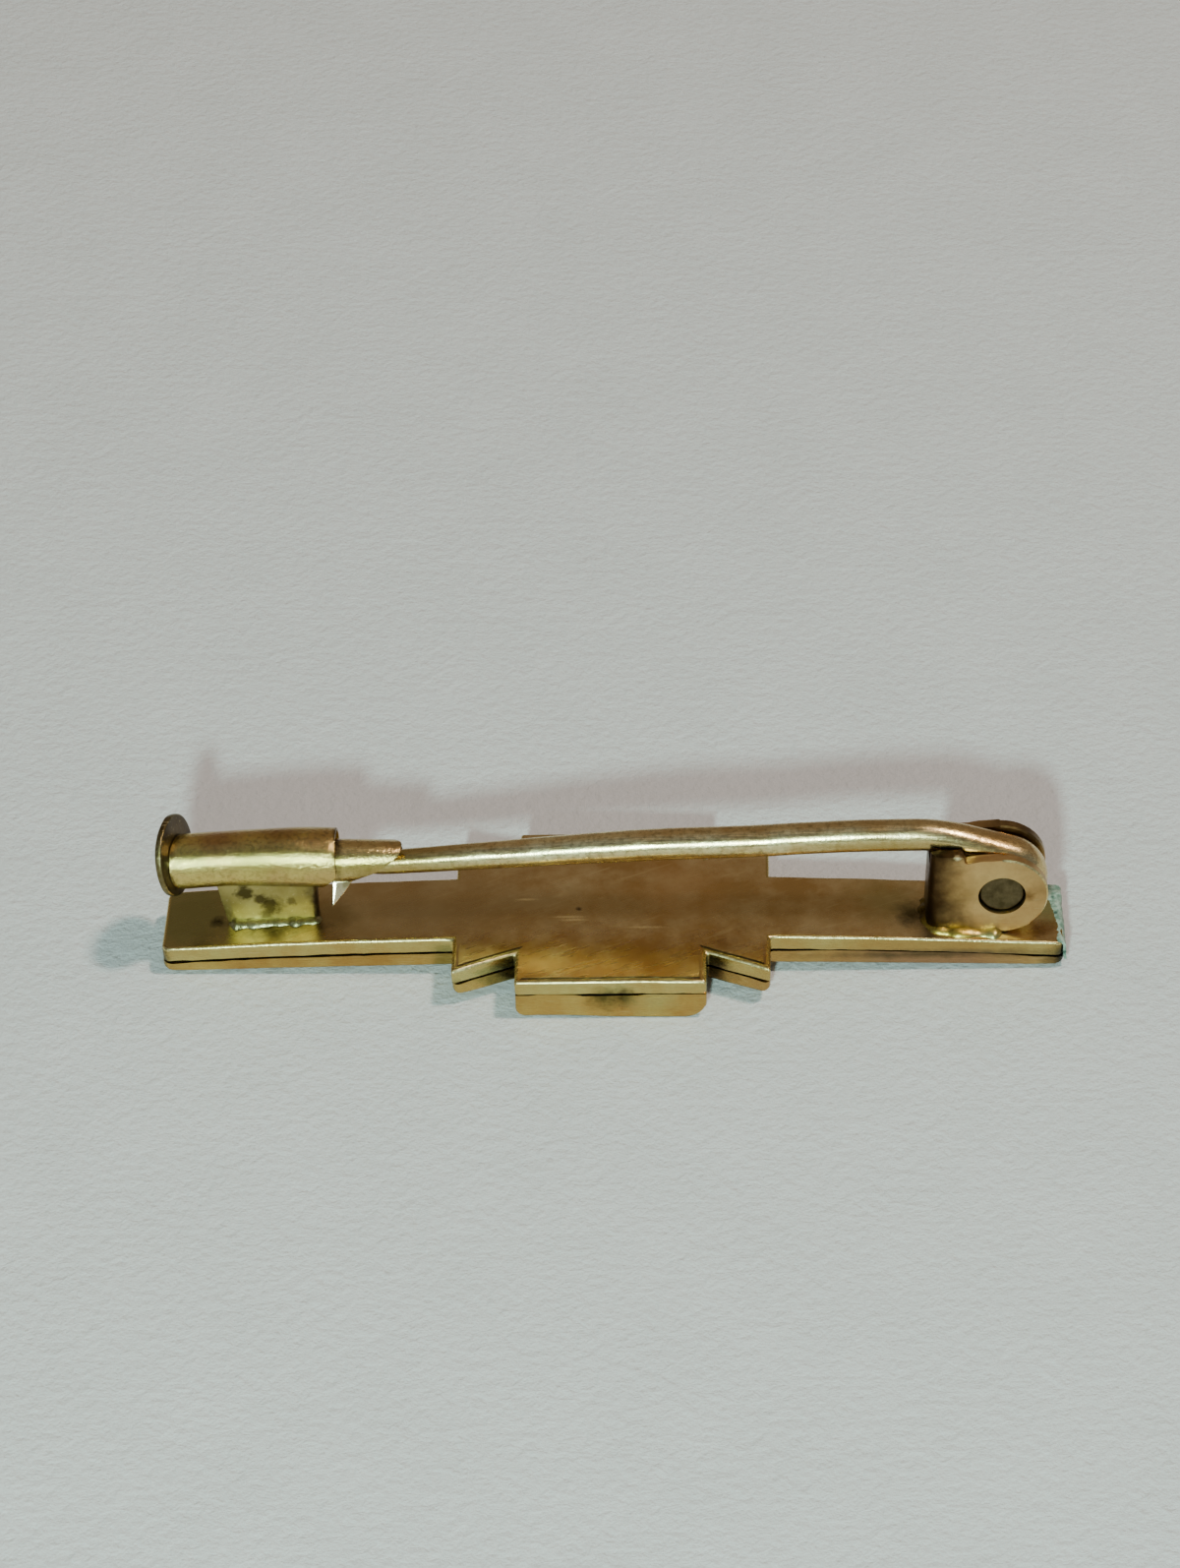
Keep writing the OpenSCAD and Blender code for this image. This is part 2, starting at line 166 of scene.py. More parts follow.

# %% [markdown]
# ## Nine carat gold
# The brooch is of yellow gold, worked by hand: sheet, wire and tube, soldered and then polished.
# Years of wear leave a satin of fine scratches, and a brown bloom where no finger rubs. So the one
# recipe mixes clean metal with bloom by a cloudy noise, lays the stains over it, adds dirt and
# painted shade where the ambient occlusion node finds a corner, and roughens the surface with two
# sizes of bump. Gold is a metal, so its colour is the colour of its reflections, and it has no
# separate gloss colour.

# %% The recipe for worn gold
def worn_gold(name, clean, bloom, bloom_share, roughness, grain_mm, grain_depth, scratches=(0, 16, 0.1),
              glints=0.0, brushed=0.2, stains=(), pits=0.0):
    """Gold with a cloudy bloom, stains, dirt and painted shade in its corners, fine scratches and a grain."""
    material, tree, place = new_finish(name)
    cloud = add_node(tree, "TexNoise", {
        "Vector": place, "Scale": scale_for(2.4), "Detail": 7.0, "Roughness": 0.66}).outputs["Fac"]
    bloom_mask = add_node(tree, "MapRange", {
        "Value": cloud, "From Min": 0.6 - 0.5 * bloom_share, "From Max": 0.9 - 0.5 * bloom_share,
        "To Min": 0.0, "To Max": 1.0}).outputs["Result"]
    colour = add_node(tree, "Mix", {
        0: bloom_mask, 6: to_linear(clean), 7: to_linear(bloom)}, data_type="RGBA").outputs[2]
    scratch = scratch_pattern(tree, place, *scratches)
    rubbed = add_node(tree, "MapRange", {
        "Value": scratch, "From Min": 0.63, "From Max": 0.72,
        "To Min": 0.0, "To Max": glints}).outputs["Result"]
    colour = add_node(tree, "Mix", {
        0: rubbed, 6: colour, 7: to_linear("#F6E4AC")}, data_type="RGBA").outputs[2]
    if pits:
        pitting = add_node(tree, "TexNoise", {
            "Vector": place, "Scale": scale_for(0.2), "Detail": 4.0, "Roughness": 0.65}).outputs["Fac"]
        pit_mask = add_node(tree, "MapRange", {
            "Value": pitting, "From Min": 0.48, "From Max": 0.62,
            "To Min": 0.0, "To Max": pits}).outputs["Result"]
        colour = add_node(tree, "Mix", {
            0: pit_mask, 6: colour, 7: to_linear("#5E5020")}, data_type="RGBA").outputs[2]
    for centre, radius, strength, stain, *shape in stains:
        mask = stain_mask(tree, place, centre, radius, *shape)
        share = add_node(tree, "Math", {
            0: mask, 1: strength}, operation="MULTIPLY").outputs["Value"]
        colour = add_node(tree, "Mix", {
            0: share, 6: colour, 7: to_linear(stain)}, data_type="RGBA").outputs[2]
    # Painted shade: where the ambient occlusion node finds a corner, crease or gap, the colour is darkened to
    # dark brown, as dirt and shade together.
    corners = add_node(tree, "AmbientOcclusion", {
        "Distance": 0.22 * MM}, samples=8, only_local=False).outputs["AO"]
    dirt_and_shade_mask = add_node(tree, "MapRange", {
        "Value": corners, "From Min": 0.15, "From Max": 0.6, "To Min": 0.9, "To Max": 0.0}).outputs["Result"]
    colour = add_node(tree, "Mix", {
        0: dirt_and_shade_mask, 6: colour, 7: to_linear("#24190C")}, data_type="RGBA").outputs[2]
    grain = add_node(tree, "TexNoise", {
        "Vector": place, "Scale": scale_for(grain_mm), "Detail": 4.0, "Roughness": 0.6}).outputs["Fac"]
    rough_value = add_node(tree, "MapRange", {
        "Value": scratch, "From Min": 0.35, "From Max": 0.65,
        "To Min": roughness - 0.3 * brushed, "To Max": roughness + 0.3 * brushed}).outputs["Result"]
    fine = add_node(tree, "Bump", {
        "Height": scratch, "Strength": brushed, "Distance": 0.003 * MM}).outputs["Normal"]
    bumps = add_node(tree, "Bump", {
        "Height": grain, "Strength": 1.0, "Distance": grain_depth * MM, "Normal": fine}).outputs["Normal"]
    metal = add_node(tree, "BsdfPrincipled", {
        "Base Color": colour, "Metallic": 1.0, "Roughness": rough_value, "Normal": bumps})
    add_node(tree, "OutputMaterial", {"Surface": metal.outputs["BSDF"]})
    return material


print("recipe:", worn_gold.__doc__)

# %% [markdown]
# ## The finishes
# One recipe serves for every golden part. The flat back has the heaviest bloom, olive at the catch
# and brown round the hinge, and a few light scratches cross it. The edges and the wire are rubbed
# clean, and the near edges also take a lighter finish that is partly a painted highlight. The tube
# is pitted, the solder is the brightest, and the web of the hinge is nearly black: polish and dirt
# stay in it, and painted shade and a painted dark reflection darken it further. A few rows below are
# painted shade, shadow or highlight rather than stains, as their comments say. A stain's row holds
# its centre in mm, its radius, its strength and its colour, and some rows add how soft its border is
# and how its axes are squeezed.

# %% Mix the golden finishes
back_gold = worn_gold(
    "nine_carat_gold_with_brown_bloom", "#ECD7A4", "#C49F64", bloom_share=0.62, roughness=0.28,
    grain_mm=0.5, grain_depth=0.003, scratches=(24, 8, 0.2), glints=0.3, brushed=0.04, stains=[
        ((0.0, -0.1, 2.0), 1.5, 0.45, "#A8905C", 0.5, (0.04, 1, 1)),
        ((-9.5, 0.0, 1.9), 5.5, 0.8, "#B8A276", 0.6),
        ((-20.0, 0.0, 1.5), 8.0, 0.9, "#92905A"),
        ((-17.6, -0.3, 1.7), 0.4, 0.9, "#241A0C"),
        # Dirt and painted shadow: a dark band on the plate along the near side of the post's solder bead.
        ((-15.0, -0.8, 1.75), 0.85, 0.9, "#463C1E", 0.5, (0.4, 1, 1)),
        ((-12.6, -0.2, 1.8), 1.3, 0.5, "#8A7040"),
        ((-1.48, -0.19, 2.1), 0.15, 0.8, "#33210F"),
        ((13.4, -0.3, 1.8), 0.95, 0.9, "#2A1B0A"),
        ((12.2, 0.6, 1.9), 1.8, 0.5, "#A39A60"),
        ((19.5, 0.3, 1.5), 1.1, 0.9, "#B8BC80"),
        ((19.0, -1.1, 1.5), 0.8, 0.7, "#7A5426"),
        ((-1.9, -0.72, 2.1), 0.09, 0.9, "#FFE9AC", 0.5, (0.12, 1, 0.1)),
        ((-1.7, -0.92, 2.1), 0.09, 0.9, "#FFE9AC", 0.5, (0.14, 1, 0.1)),
        ((1.5, -1.45, 2.1), 0.09, 0.9, "#FFE9AC", 0.5, (0.1, 1, 0.1)),
        ((-3.85, 0.5, 2.1), 0.08, 0.8, "#FFE9AC", 0.5, (0.16, 1, 0.1)),
        ((4.9, -2.6, 2.1), 0.6, 0.6, "#8E6632"),
        ((-4.7, -2.9, 2.1), 0.6, 0.6, "#7A6232"),
        ((0.0, -4.5, 2.1), 2.4, 0.9, "#8E6034", 0.6, (0.2, 1, 1)),
        ((3.0, 1.6, 2.1), 2.4, 0.5, "#D0A060")])
edge_gold = worn_gold(
    "nine_carat_gold_worn_smooth", "#C8BA75", "#BC9C5A", bloom_share=0.5, roughness=0.26,
    grain_mm=0.8, grain_depth=0.004, scratches=(0, 14, 0.12), glints=0.2, brushed=0.15, stains=[
        ((14.0, -2.0, 1.2), 9.0, 0.8, "#AA864C", 0.6),
        ((14.0, -2.0, 0.97), 1.0, 0.9, "#62543C", 0.6, (0.16, 1, 4)),
        ((-4.4, -3.2, 1.5), 1.1, 0.85, "#33341E"),
        ((4.5, -3.2, 1.5), 1.0, 0.9, "#2E2E1C"),
        ((-0.15, -5.05, 1.28), 0.62, 0.85, "#3E3A1E"),
        ((0.6, -5.05, 1.4), 0.5, 0.85, "#3A361C"),
        ((20.0, -1.97, 0.8), 0.8, 0.95, "#1C281E"),
        ((-6.9, -4.2, 1.2), 0.4, 0.5, "#5A4A24", 0.4),
        ((-20.0, -1.9, 1.0), 0.34, 0.85, "#3A2C16", 0.5, (1, 1, 0.3))])
lower_gold = worn_gold(
    "nine_carat_gold_lower_plate", "#C2A35C", "#AD8446", bloom_share=0.5, roughness=0.27,
    grain_mm=0.9, grain_depth=0.005, scratches=(0, 14, 0.12), glints=0.15, brushed=0.15, stains=[
        ((14.0, -2.0, 0.5), 9.0, 0.85, "#977458", 0.6),
        ((14.0, -2.0, 0.9), 0.9, 0.85, "#5A4C34", 0.6, (0.16, 1, 4)),
        ((-4.4, -3.2, 1.1), 1.0, 0.85, "#39361E"),
        ((4.5, -3.2, 1.1), 1.0, 0.9, "#2E2E1C"),
        ((-0.25, -5.05, 1.18), 0.75, 0.85, "#45401F"),
        ((0.6, -5.05, 1.2), 0.6, 0.85, "#3E3A1C"),
        ((1.9, -5.05, 0.9), 1.2, 0.5, "#B8B070"),
        ((20.0, -1.97, 0.6), 0.95, 0.95, "#1C241C")])
# Dirt and painted shade: a dark finish for the walls of the groove, so that they stay dark where they face
# the light.
groove_dirt_and_shade = worn_gold(
    "groove_dirt_and_painted_shade", "#4A351A", "#2A1D0E", bloom_share=0.6, roughness=0.5,
    grain_mm=0.2, grain_depth=0.01, scratches=(0, 6, 0.1), glints=0.1, brushed=0.1)
# Partly wear and partly a painted highlight: a lighter gold for the edges that face the near side, where the
# front lamp's highlight runs.
rubbed_edge_and_highlight_gold = worn_gold(
    "nine_carat_gold_rubbed_edge_and_painted_highlight", "#F2E4A8", "#D2B878", bloom_share=0.5, roughness=0.34,
    grain_mm=0.22, grain_depth=0.02, scratches=(0, 5, 0.14), glints=0.3, brushed=0.2, pits=0.5)
tube_gold = worn_gold(
    "nine_carat_gold_tube_pitted", "#DAC672", "#C4A066", bloom_share=0.5, roughness=0.2,
    grain_mm=0.15, grain_depth=0.032, scratches=(0, 8, 0.09), glints=0.2, brushed=0.12, pits=0.36, stains=[
        # Painted shade: a darker band along the line where the front lamp's highlight runs on the tube, to
        # dim it.
        ((-15.6, -1.04, 5.8), 0.6, 0.8, "#A6944A", 0.6, (0.13, 1, 1)),
        ((-17.4, -0.2, 6.2), 1.2, 0.5, "#A57850"),
        ((-14.6, 0.2, 6.3), 1.0, 0.5, "#8A6236"),
        # Painted shade: a thin dark ring round the mouth of the tube.
        ((-12.06, 0.3, 6.0), 0.16, 0.9, "#2E1E0E", 0.5, (1, 0.12, 0.12))])
slide_gold = worn_gold(
    "nine_carat_gold_slide_stained", "#DCC684", "#C2A068", bloom_share=0.5, roughness=0.24,
    grain_mm=0.12, grain_depth=0.018, scratches=(0, 8, 0.09), glints=0.2, brushed=0.12, pits=0.3, stains=[
        # Painted shade: a thin dark ring on the slide where it enters the tube's mouth.
        ((-12.0, 0.0, 5.2), 0.2, 0.9, "#2A1C0E", 0.5, (1, 0.12, 0.12)),
        # Painted shade: a darker band along the line where the front lamp's highlight runs on the slide, to
        # dim it.
        ((-11.0, -0.82, 5.4), 0.5, 0.85, "#98863C", 0.6, (0.2, 1, 1)),
        ((-10.9, -0.9, 4.4), 1.0, 0.8, "#86743A")])
wire_gold = worn_gold(
    "nine_carat_gold_drawn_wire", "#F0E2AC", "#CAAA72", bloom_share=0.45, roughness=0.25,
    grain_mm=0.2, grain_depth=0.01, scratches=(0, 22, 0.08), glints=0.12, brushed=0.2, pits=0.4, stains=[
        ((17.2, 0.0, 5.4), 3.6, 0.85, "#C8A46A", 0.6),
        ((12.0, 0.0, 6.0), 2.6, 0.6, "#B08E58", 0.6),
        ((12.0, -0.7, 5.95), 0.5, 0.8, "#A68C4A", 0.6, (0.12, 1, 1)),
        ((-9.0, 0.0, 4.8), 3.4, 0.75, "#A48C48")])
joint_gold = worn_gold(
    "nine_carat_gold_satin_sheet", "#D0AC72", "#B48C58", bloom_share=0.5, roughness=0.4,
    grain_mm=0.3, grain_depth=0.006, scratches=(8, 9, 0.12), glints=0.12, brushed=0.2, stains=[
        # Painted shade and a painted dark reflection: these two rows darken the web and its bends nearly to
        # black.
        ((13.6, -0.8, 2.8), 1.95, 1.0, "#402A14", 0.5, (1, 0.7, 0.25)),
        ((13.5, -0.8, 5.0), 1.9, 1.0, "#392511", 0.5, (1, 0.7, 0.4)),
        ((14.1, -1.3, 1.9), 1.4, 0.95, "#2A1C0B", 0.8),
        # Dirt and painted shadow: the top of the near ear's shoulder, under the wire.
        ((14.7, -0.85, 6.12), 1.1, 0.95, "#241808", 0.4, (0.6, 1, 3)),
        # Painted highlight: a small pale spot on the near ear where a burr catches the light.
        ((15.2, -1.42, 5.95), 0.17, 0.9, "#F4E6B4", 0.4),
        ((15.6, -1.42, 3.9), 0.9, 0.45, "#7C5C2C", 0.6),
        ((18.35, -1.42, 3.7), 0.3, 0.7, "#6A4418"),
        ((17.2, -1.42, 5.0), 0.6, 0.3, "#D8BC80", 0.6),
        # Painted shade: the far ear, seen between the ears behind the wire, is darkened.
        ((18.2, 1.2, 5.2), 2.6, 0.9, "#453218")])
solder_gold = worn_gold(
    "gold_solder_run_bright", "#E4C860", "#B08C3C", bloom_share=0.55, roughness=0.36,
    grain_mm=0.2, grain_depth=0.012, scratches=(0, 6, 0.1), glints=0.3, brushed=0.1, pits=0.5, stains=[
        ((13.8, -0.3, 1.9), 1.9, 0.97, "#2C1E0C", 0.6),
        ((16.8, -1.8, 1.6), 0.9, 0.6, "#A6A878")])
bead_gold = worn_gold(
    "gold_solder_bead_grey", "#C2BC8C", "#807A4E", bloom_share=0.5, roughness=0.34,
    grain_mm=0.16, grain_depth=0.03, scratches=(0, 6, 0.1), glints=0.3, brushed=0.1, pits=0.5)
tab_gold = worn_gold(
    "nine_carat_gold_torn_tab", "#F4EBC8", "#DCC890", bloom_share=0.2, roughness=0.2,
    grain_mm=0.2, grain_depth=0.006, scratches=(0, 6, 0.1), glints=0.2, brushed=0.1, stains=[
        ((-11.65, -0.5, 4.1), 0.6, 0.85, "#7C7048")])
post_gold = worn_gold(
    "nine_carat_gold_post_stained", "#BCAC70", "#9C8B52", bloom_share=0.55, roughness=0.42,
    grain_mm=0.4, grain_depth=0.006, scratches=(80, 5, 0.14), glints=0.2, brushed=0.15, stains=[
        ((-16.3, -0.45, 3.45), 0.55, 0.9, "#3A2E12", 0.25),
        ((-15.6, -0.45, 3.05), 0.36, 0.85, "#40331A", 0.25),
        ((-15.1, -0.45, 2.7), 0.6, 0.85, "#382C12", 0.3),
        ((-14.2, -0.45, 2.9), 0.3, 0.7, "#4E4020", 0.25),
        ((-15.4, -0.45, 2.1), 0.4, 0.7, "#3E3418", 0.3),
        # Painted dark reflection: the post's rounded right side is darkened.
        ((-12.95, 0.0, 2.8), 0.75, 0.95, "#4A3C2C", 0.4, (1, 0.5, 0.3))])
# Tarnish and painted shade: the flange's faces are a dark gold, and only its rim is lighter.
flange_tarnish_and_shade_gold = worn_gold(
    "gold_flange_tarnish_and_painted_shade", "#6C5F44", "#423A2E", bloom_share=0.6, roughness=0.36,
    grain_mm=0.25, grain_depth=0.01, scratches=(0, 5, 0.12), glints=0.25, brushed=0.1)
rim_gold = worn_gold(
    "gold_flange_rim_rubbed", "#94845A", "#5C4E34", bloom_share=0.6, roughness=0.34,
    grain_mm=0.16, grain_depth=0.03, scratches=(0, 5, 0.12), glints=0.5, brushed=0.1, pits=0.7)
print("gold finishes:", len([m for m in bpy.data.materials if "gold" in m.name]))

# %% [markdown]
# ## Verdigris
# Nine carat gold holds copper, and damp turns the copper at the cut end of the bar to a pale
# blue-green crust. It is a mineral, so it isn't metallic and has no shine, and darker grains sit
# in it.

# %% Mix the verdigris
verdigris, tree, place = new_finish("verdigris_crust")
flakes = add_node(tree, "TexNoise", {
    "Vector": place, "Scale": scale_for(0.34), "Detail": 5.0, "Roughness": 0.7}).outputs["Fac"]
flake_mask = add_node(tree, "MapRange", {
    "Value": flakes, "From Min": 0.4, "From Max": 0.6}).outputs["Result"]
pale = add_node(tree, "Mix", {
    0: flake_mask, 6: to_linear("#5F7A68"), 7: to_linear("#A3B5A2")}, data_type="RGBA").outputs[2]
grains = add_node(tree, "TexVoronoi", {
    "Vector": place, "Scale": scale_for(0.42)}).outputs["Distance"]
grain_mask = add_node(tree, "MapRange", {
    "Value": grains, "From Min": 0.14, "From Max": 0.3, "To Min": 0.85, "To Max": 0.0}).outputs["Result"]
crust_tone = add_node(tree, "Mix", {
    0: grain_mask, 6: pale, 7: to_linear("#2C463C")}, data_type="RGBA").outputs[2]
crust_relief = add_node(tree, "Bump", {
    "Height": flakes, "Strength": 1.0, "Distance": 0.05 * MM}).outputs["Normal"]
crust = add_node(tree, "BsdfPrincipled", {
    "Base Color": crust_tone, "Roughness": 0.8, "Normal": crust_relief})
add_node(tree, "OutputMaterial", {"Surface": crust.outputs["BSDF"]})
print("mineral finish:", verdigris.name)

# %% [markdown]
# ## From a bmesh to a piece
# Each piece is shaped in a bmesh, with its place in the mesh. Doubles are merged, the faces are
# turned outwards, and the object itself stays at the origin. Then it gets its finishes and is told
# which body it rides on.

# %% The helper that finishes a piece
def make_piece(name, bm, finishes, body, smooth_angle=35):
    """Turns a bmesh into a shown object, in one or more finishes, that rides on a body."""
    bmesh.ops.remove_doubles(bm, verts=bm.verts[:], dist=0.0005 * MM)
    bmesh.ops.recalc_face_normals(bm, faces=bm.faces[:])
    for face in bm.faces:
        face.smooth = True
    for edge in bm.edges:
        edge.smooth = not edge.is_manifold or edge.calc_face_angle(0.0) < math.radians(smooth_angle)
    mesh = bpy.data.meshes.new(name)
    bm.to_mesh(mesh)
    bm.free()
    for finish in finishes:
        mesh.materials.append(finish)
    piece = bpy.data.objects.new(name, mesh)
    bpy.context.scene.collection.objects.link(piece)
    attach(piece, body)
    print(name, "faces:", len(mesh.polygons), "size in mm:", [round(v / MM, 2) for v in piece.dimensions])
    return piece


def wear(bm, size_mm, depth_mm):
    """Moves the vertices a little by a smooth noise, as hand work and wear do."""
    for vert in bm.verts:
        vert.co += noise.noise_vector(vert.co / (size_mm * MM)) * depth_mm * MM


# %% [markdown]
# ## The bowed outline
# Both plates have one outline: a long bar, two wings that widen like a swallow's tail, and a block
# in the middle. The bar is slightly bowed, so its back is a little higher at the middle than at the
# ends. The outline starts from a quarter, is mirrored into a whole, and is cut across into strips,
# because a long face can't bend.

# %% Outline and bow
HALF_BAR = 20.0
BACK_Z = 2.12
BOW = 0.67
CORNER_RADIUS = 0.38
FAR_QUARTER = [(20.0, 1.975), (7.0, 2.075), (7.0, 4.25), (4.2, 3.28), (4.2, 5.05)]
NEAR_QUARTER = [(20.0, -1.975), (7.0, -2.075), (7.0, -4.25), (4.2, -3.1), (4.2, -5.05)]
CUTS_X = [0.45 * i for i in range(9)] + [4.65, 5.15, 5.65, 6.15] + [7.4 + 0.45 * i for i in range(28)]


def back_z(x):
    """Height of the back face over the floor, in mm."""
    return BACK_Z - BOW * (x / HALF_BAR) ** 2


def is_upright(edge):
    """Whether an edge stands up between the top and the underside of a slab."""
    return abs(edge.verts[0].co.z - edge.verts[1].co.z) > 0.2 * MM


def middle_z(edge):
    """Height of the middle of an edge, in mm."""
    return (edge.verts[0].co.z + edge.verts[1].co.z) / 2 / MM


def cut_across(bm, places, axis=(1, 0, 0)):
    """Cuts a mesh by a plane at each of these places along an axis, in mm."""
    for place in places:
        bmesh.ops.bisect_plane(
            bm, geom=bm.verts[:] + bm.edges[:] + bm.faces[:],
            plane_co=Vector(axis) * (place * MM), plane_no=axis)


def bevel(bm, edges, radius, segments, clamp=False):
    """Rounds these edges to a radius in mm and gives back the new faces."""
    return bmesh.ops.bevel(
        bm, geom=edges, offset=radius * MM, offset_type="OFFSET", segments=segments, profile=0.5,
        affect="EDGES", clamp_overlap=clamp, material=-1)["faces"]


def round_edges(bm, radius, segments, least_angle=34, chosen=None):
    """Rounds every edge sharper than an angle, or only the chosen ones of them."""
    bevel(bm, [e for e in bm.edges if e.is_manifold and e.calc_face_angle(0.0) > math.radians(least_angle)
               and (chosen is None or chosen(e))], radius, segments)


def outline_slab(thickness):
    """A flat slab with the brooch's outline, its top at zero, cut across into strips."""
    bm = bmesh.new()
    corners = FAR_QUARTER + [(-x, y) for x, y in reversed(FAR_QUARTER)]
    corners += [(-x, y) for x, y in NEAR_QUARTER] + list(reversed(NEAR_QUARTER))
    face = bm.faces.new([bm.verts.new((x * MM, y * MM, 0.0)) for x, y in corners])
    bmesh.ops.recalc_face_normals(bm, faces=[face])
    cut_across(bm, sorted({side * x for x in CUTS_X for side in (-1, 1)}))
    cut_across(bm, (-1.2, -0.4, 0.4, 1.2), (0, 1, 0))
    top = bmesh.ops.extrude_face_region(bm, geom=bm.faces[:])["geom"]
    moved = [item for item in top if isinstance(item, bmesh.types.BMVert)]
    bmesh.ops.translate(bm, verts=moved, vec=(0, 0, thickness * MM))
    bmesh.ops.translate(bm, verts=bm.verts[:], vec=(0, 0, -thickness * MM))
    bmesh.ops.recalc_face_normals(bm, faces=bm.faces[:])
    ends = [e for e in bm.edges if is_upright(e)
            and abs(e.verts[0].co.x) > 19.9 * MM and abs(e.verts[0].co.y) > 1.9 * MM]
    bevel(bm, ends, CORNER_RADIUS, 5)
    return bm


print("back face in mm: middle", round(back_z(0), 2), "ends", round(back_z(HALF_BAR), 2))

# %% [markdown]
# ## The back plate
# The back plate is a flat sheet whose edge was rolled over the plate below, so a thin rim runs
# round it, with a fine groove just inside the rim that shows most on the block and the wings. A
# slab is rounded along its edges first. Then the flat top is inset four times, and where the second
# inset meets the third the metal sinks into the groove, whose walls are painted dark with dirt and
# painted shade.

# %% Model the back plate
BACK_THICKNESS = 0.72
bm = outline_slab(BACK_THICKNESS)
round_edges(bm, 0.14, 4, chosen=lambda e: middle_z(e) > -BACK_THICKNESS + 0.1)
round_edges(bm, 0.03, 2, 50, chosen=lambda e: middle_z(e) < -BACK_THICKNESS + 0.1)
top_faces = [f for f in bm.faces if f.normal.z > 0.999]
rim = bmesh.ops.inset_region(bm, faces=top_faces, thickness=0.08 * MM, use_even_offset=True)["faces"]
down = bmesh.ops.inset_region(bm, faces=top_faces, thickness=0.06 * MM, use_even_offset=True)["faces"]
up = bmesh.ops.inset_region(bm, faces=top_faces, thickness=0.05 * MM, use_even_offset=True)["faces"]
held = bmesh.ops.inset_region(bm, faces=top_faces, thickness=0.035 * MM, use_even_offset=True)["faces"]


def groove_share(place):
    """How deep the groove is at a place: full along the near edges of the block and the wings."""
    x = abs(place.x) / MM
    inside = 0.0 if 3.8 < x < 4.15 else 1 - min(max((x - 6.4) / 0.3, 0.0), 1.0)
    return inside * min(max((-place.y / MM - 2.3) / 0.4, 0.0), 1.0)


for vert in {v for f in down for v in f.verts} & {v for f in up for v in f.verts}:
    vert.co.z -= 0.09 * groove_share(vert.co) * MM
# The near rim faces take the lighter rubbed edge finish, partly wear and partly a painted highlight.
for face in bm.faces:
    is_near_rim = 0.2 < face.normal.z < 0.98 and face.normal.y < -0.2
    face.material_index = 2 if is_near_rim and face.calc_center_median().z > -0.3 * MM else 1
for face in top_faces + held + [f for f in rim + down + up if groove_share(f.calc_center_median()) < 0.3]:
    face.material_index = 0
# The groove walls take the dark finish of dirt and painted shade.
for face in [f for f in down + up if groove_share(f.calc_center_median()) >= 0.3]:
    face.material_index = 3
for vert in bm.verts:
    if vert.co.z < -0.6 * MM:
        vert.co.z += 0.05 * noise.noise(Vector((vert.co.x / MM / 0.7, vert.co.y / MM, 5.0))) * MM
wear(bm, 1.6, 0.02)
wear(bm, 0.5, 0.006)
for vert in bm.verts:
    vert.co.z += back_z(vert.co.x / MM) * MM
back_finishes = [back_gold, edge_gold, rubbed_edge_and_highlight_gold, groove_dirt_and_shade]
back_sheet = make_piece("back_sheet", bm, back_finishes, "brooch")
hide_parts("back_plate")

# %% [markdown]
# ## The front plate
# Only the edges of the front plate show, below the open seam. Its arms and wings are a thinner slab
# that hangs under the back plate, and the block goes on down to the floor, rounded underneath at
# its two ends. The slab is bent to the bow on top and to the arms' own underside below. The seam is
# ragged, and in the right arm and most of the block it is nearly closed.

# %% Model the front plate
SEAM_TOP = BACK_THICKNESS + 0.08
BLOCK_SIZE = (8.4, 10.1, 1.3)


def underside_z(x):
    """Height of the arms' and wings' underside over the floor, in mm."""
    return 0.56 if abs(x) < 7.0 else 0.16 + 0.34 * (HALF_BAR - abs(x)) / (HALF_BAR - 7.0)


bm = outline_slab(0.6)
tips = [e for e in bm.edges if is_upright(e)
        and abs(e.verts[0].co.x) > 6.9 * MM and abs(e.verts[0].co.y) > 4 * MM]
bevel(bm, tips, 0.42, 5)
round_edges(bm, 0.12, 4, chosen=lambda e: middle_z(e) < -0.1)
for vert in bm.verts:
    x = vert.co.x / MM
    depth = -vert.co.z / MM / 0.6
    filled = min(max((x - 7.0) / 3.0, 0.0), 1.0) * min(max((19.0 - x) / 1.5, 0.0), 1.0)
    ragged = 0.03 + 0.14 * max(noise.noise(Vector((x / 0.9, vert.co.y / MM / 2.0, 3.0))), 0.0)
    high = back_z(x) - SEAM_TOP - ragged + filled * (ragged + 0.03)
    out_on_wing = min(max((abs(vert.co.y) / MM - 2.4) / 0.8, 0.0), 1.0)
    low = underside_z(x) + 0.2 * max((abs(x) - 19.3) / 0.7, 0.0) ** 2
    low += 0.24 * out_on_wing * min(max((abs(x) - 6.4) / 0.6, 0.0), 1.0) ** 2
    vert.co.z = (high + depth * (low - high)) * MM
wear(bm, 1.6, 0.015)
wear(bm, 0.5, 0.006)

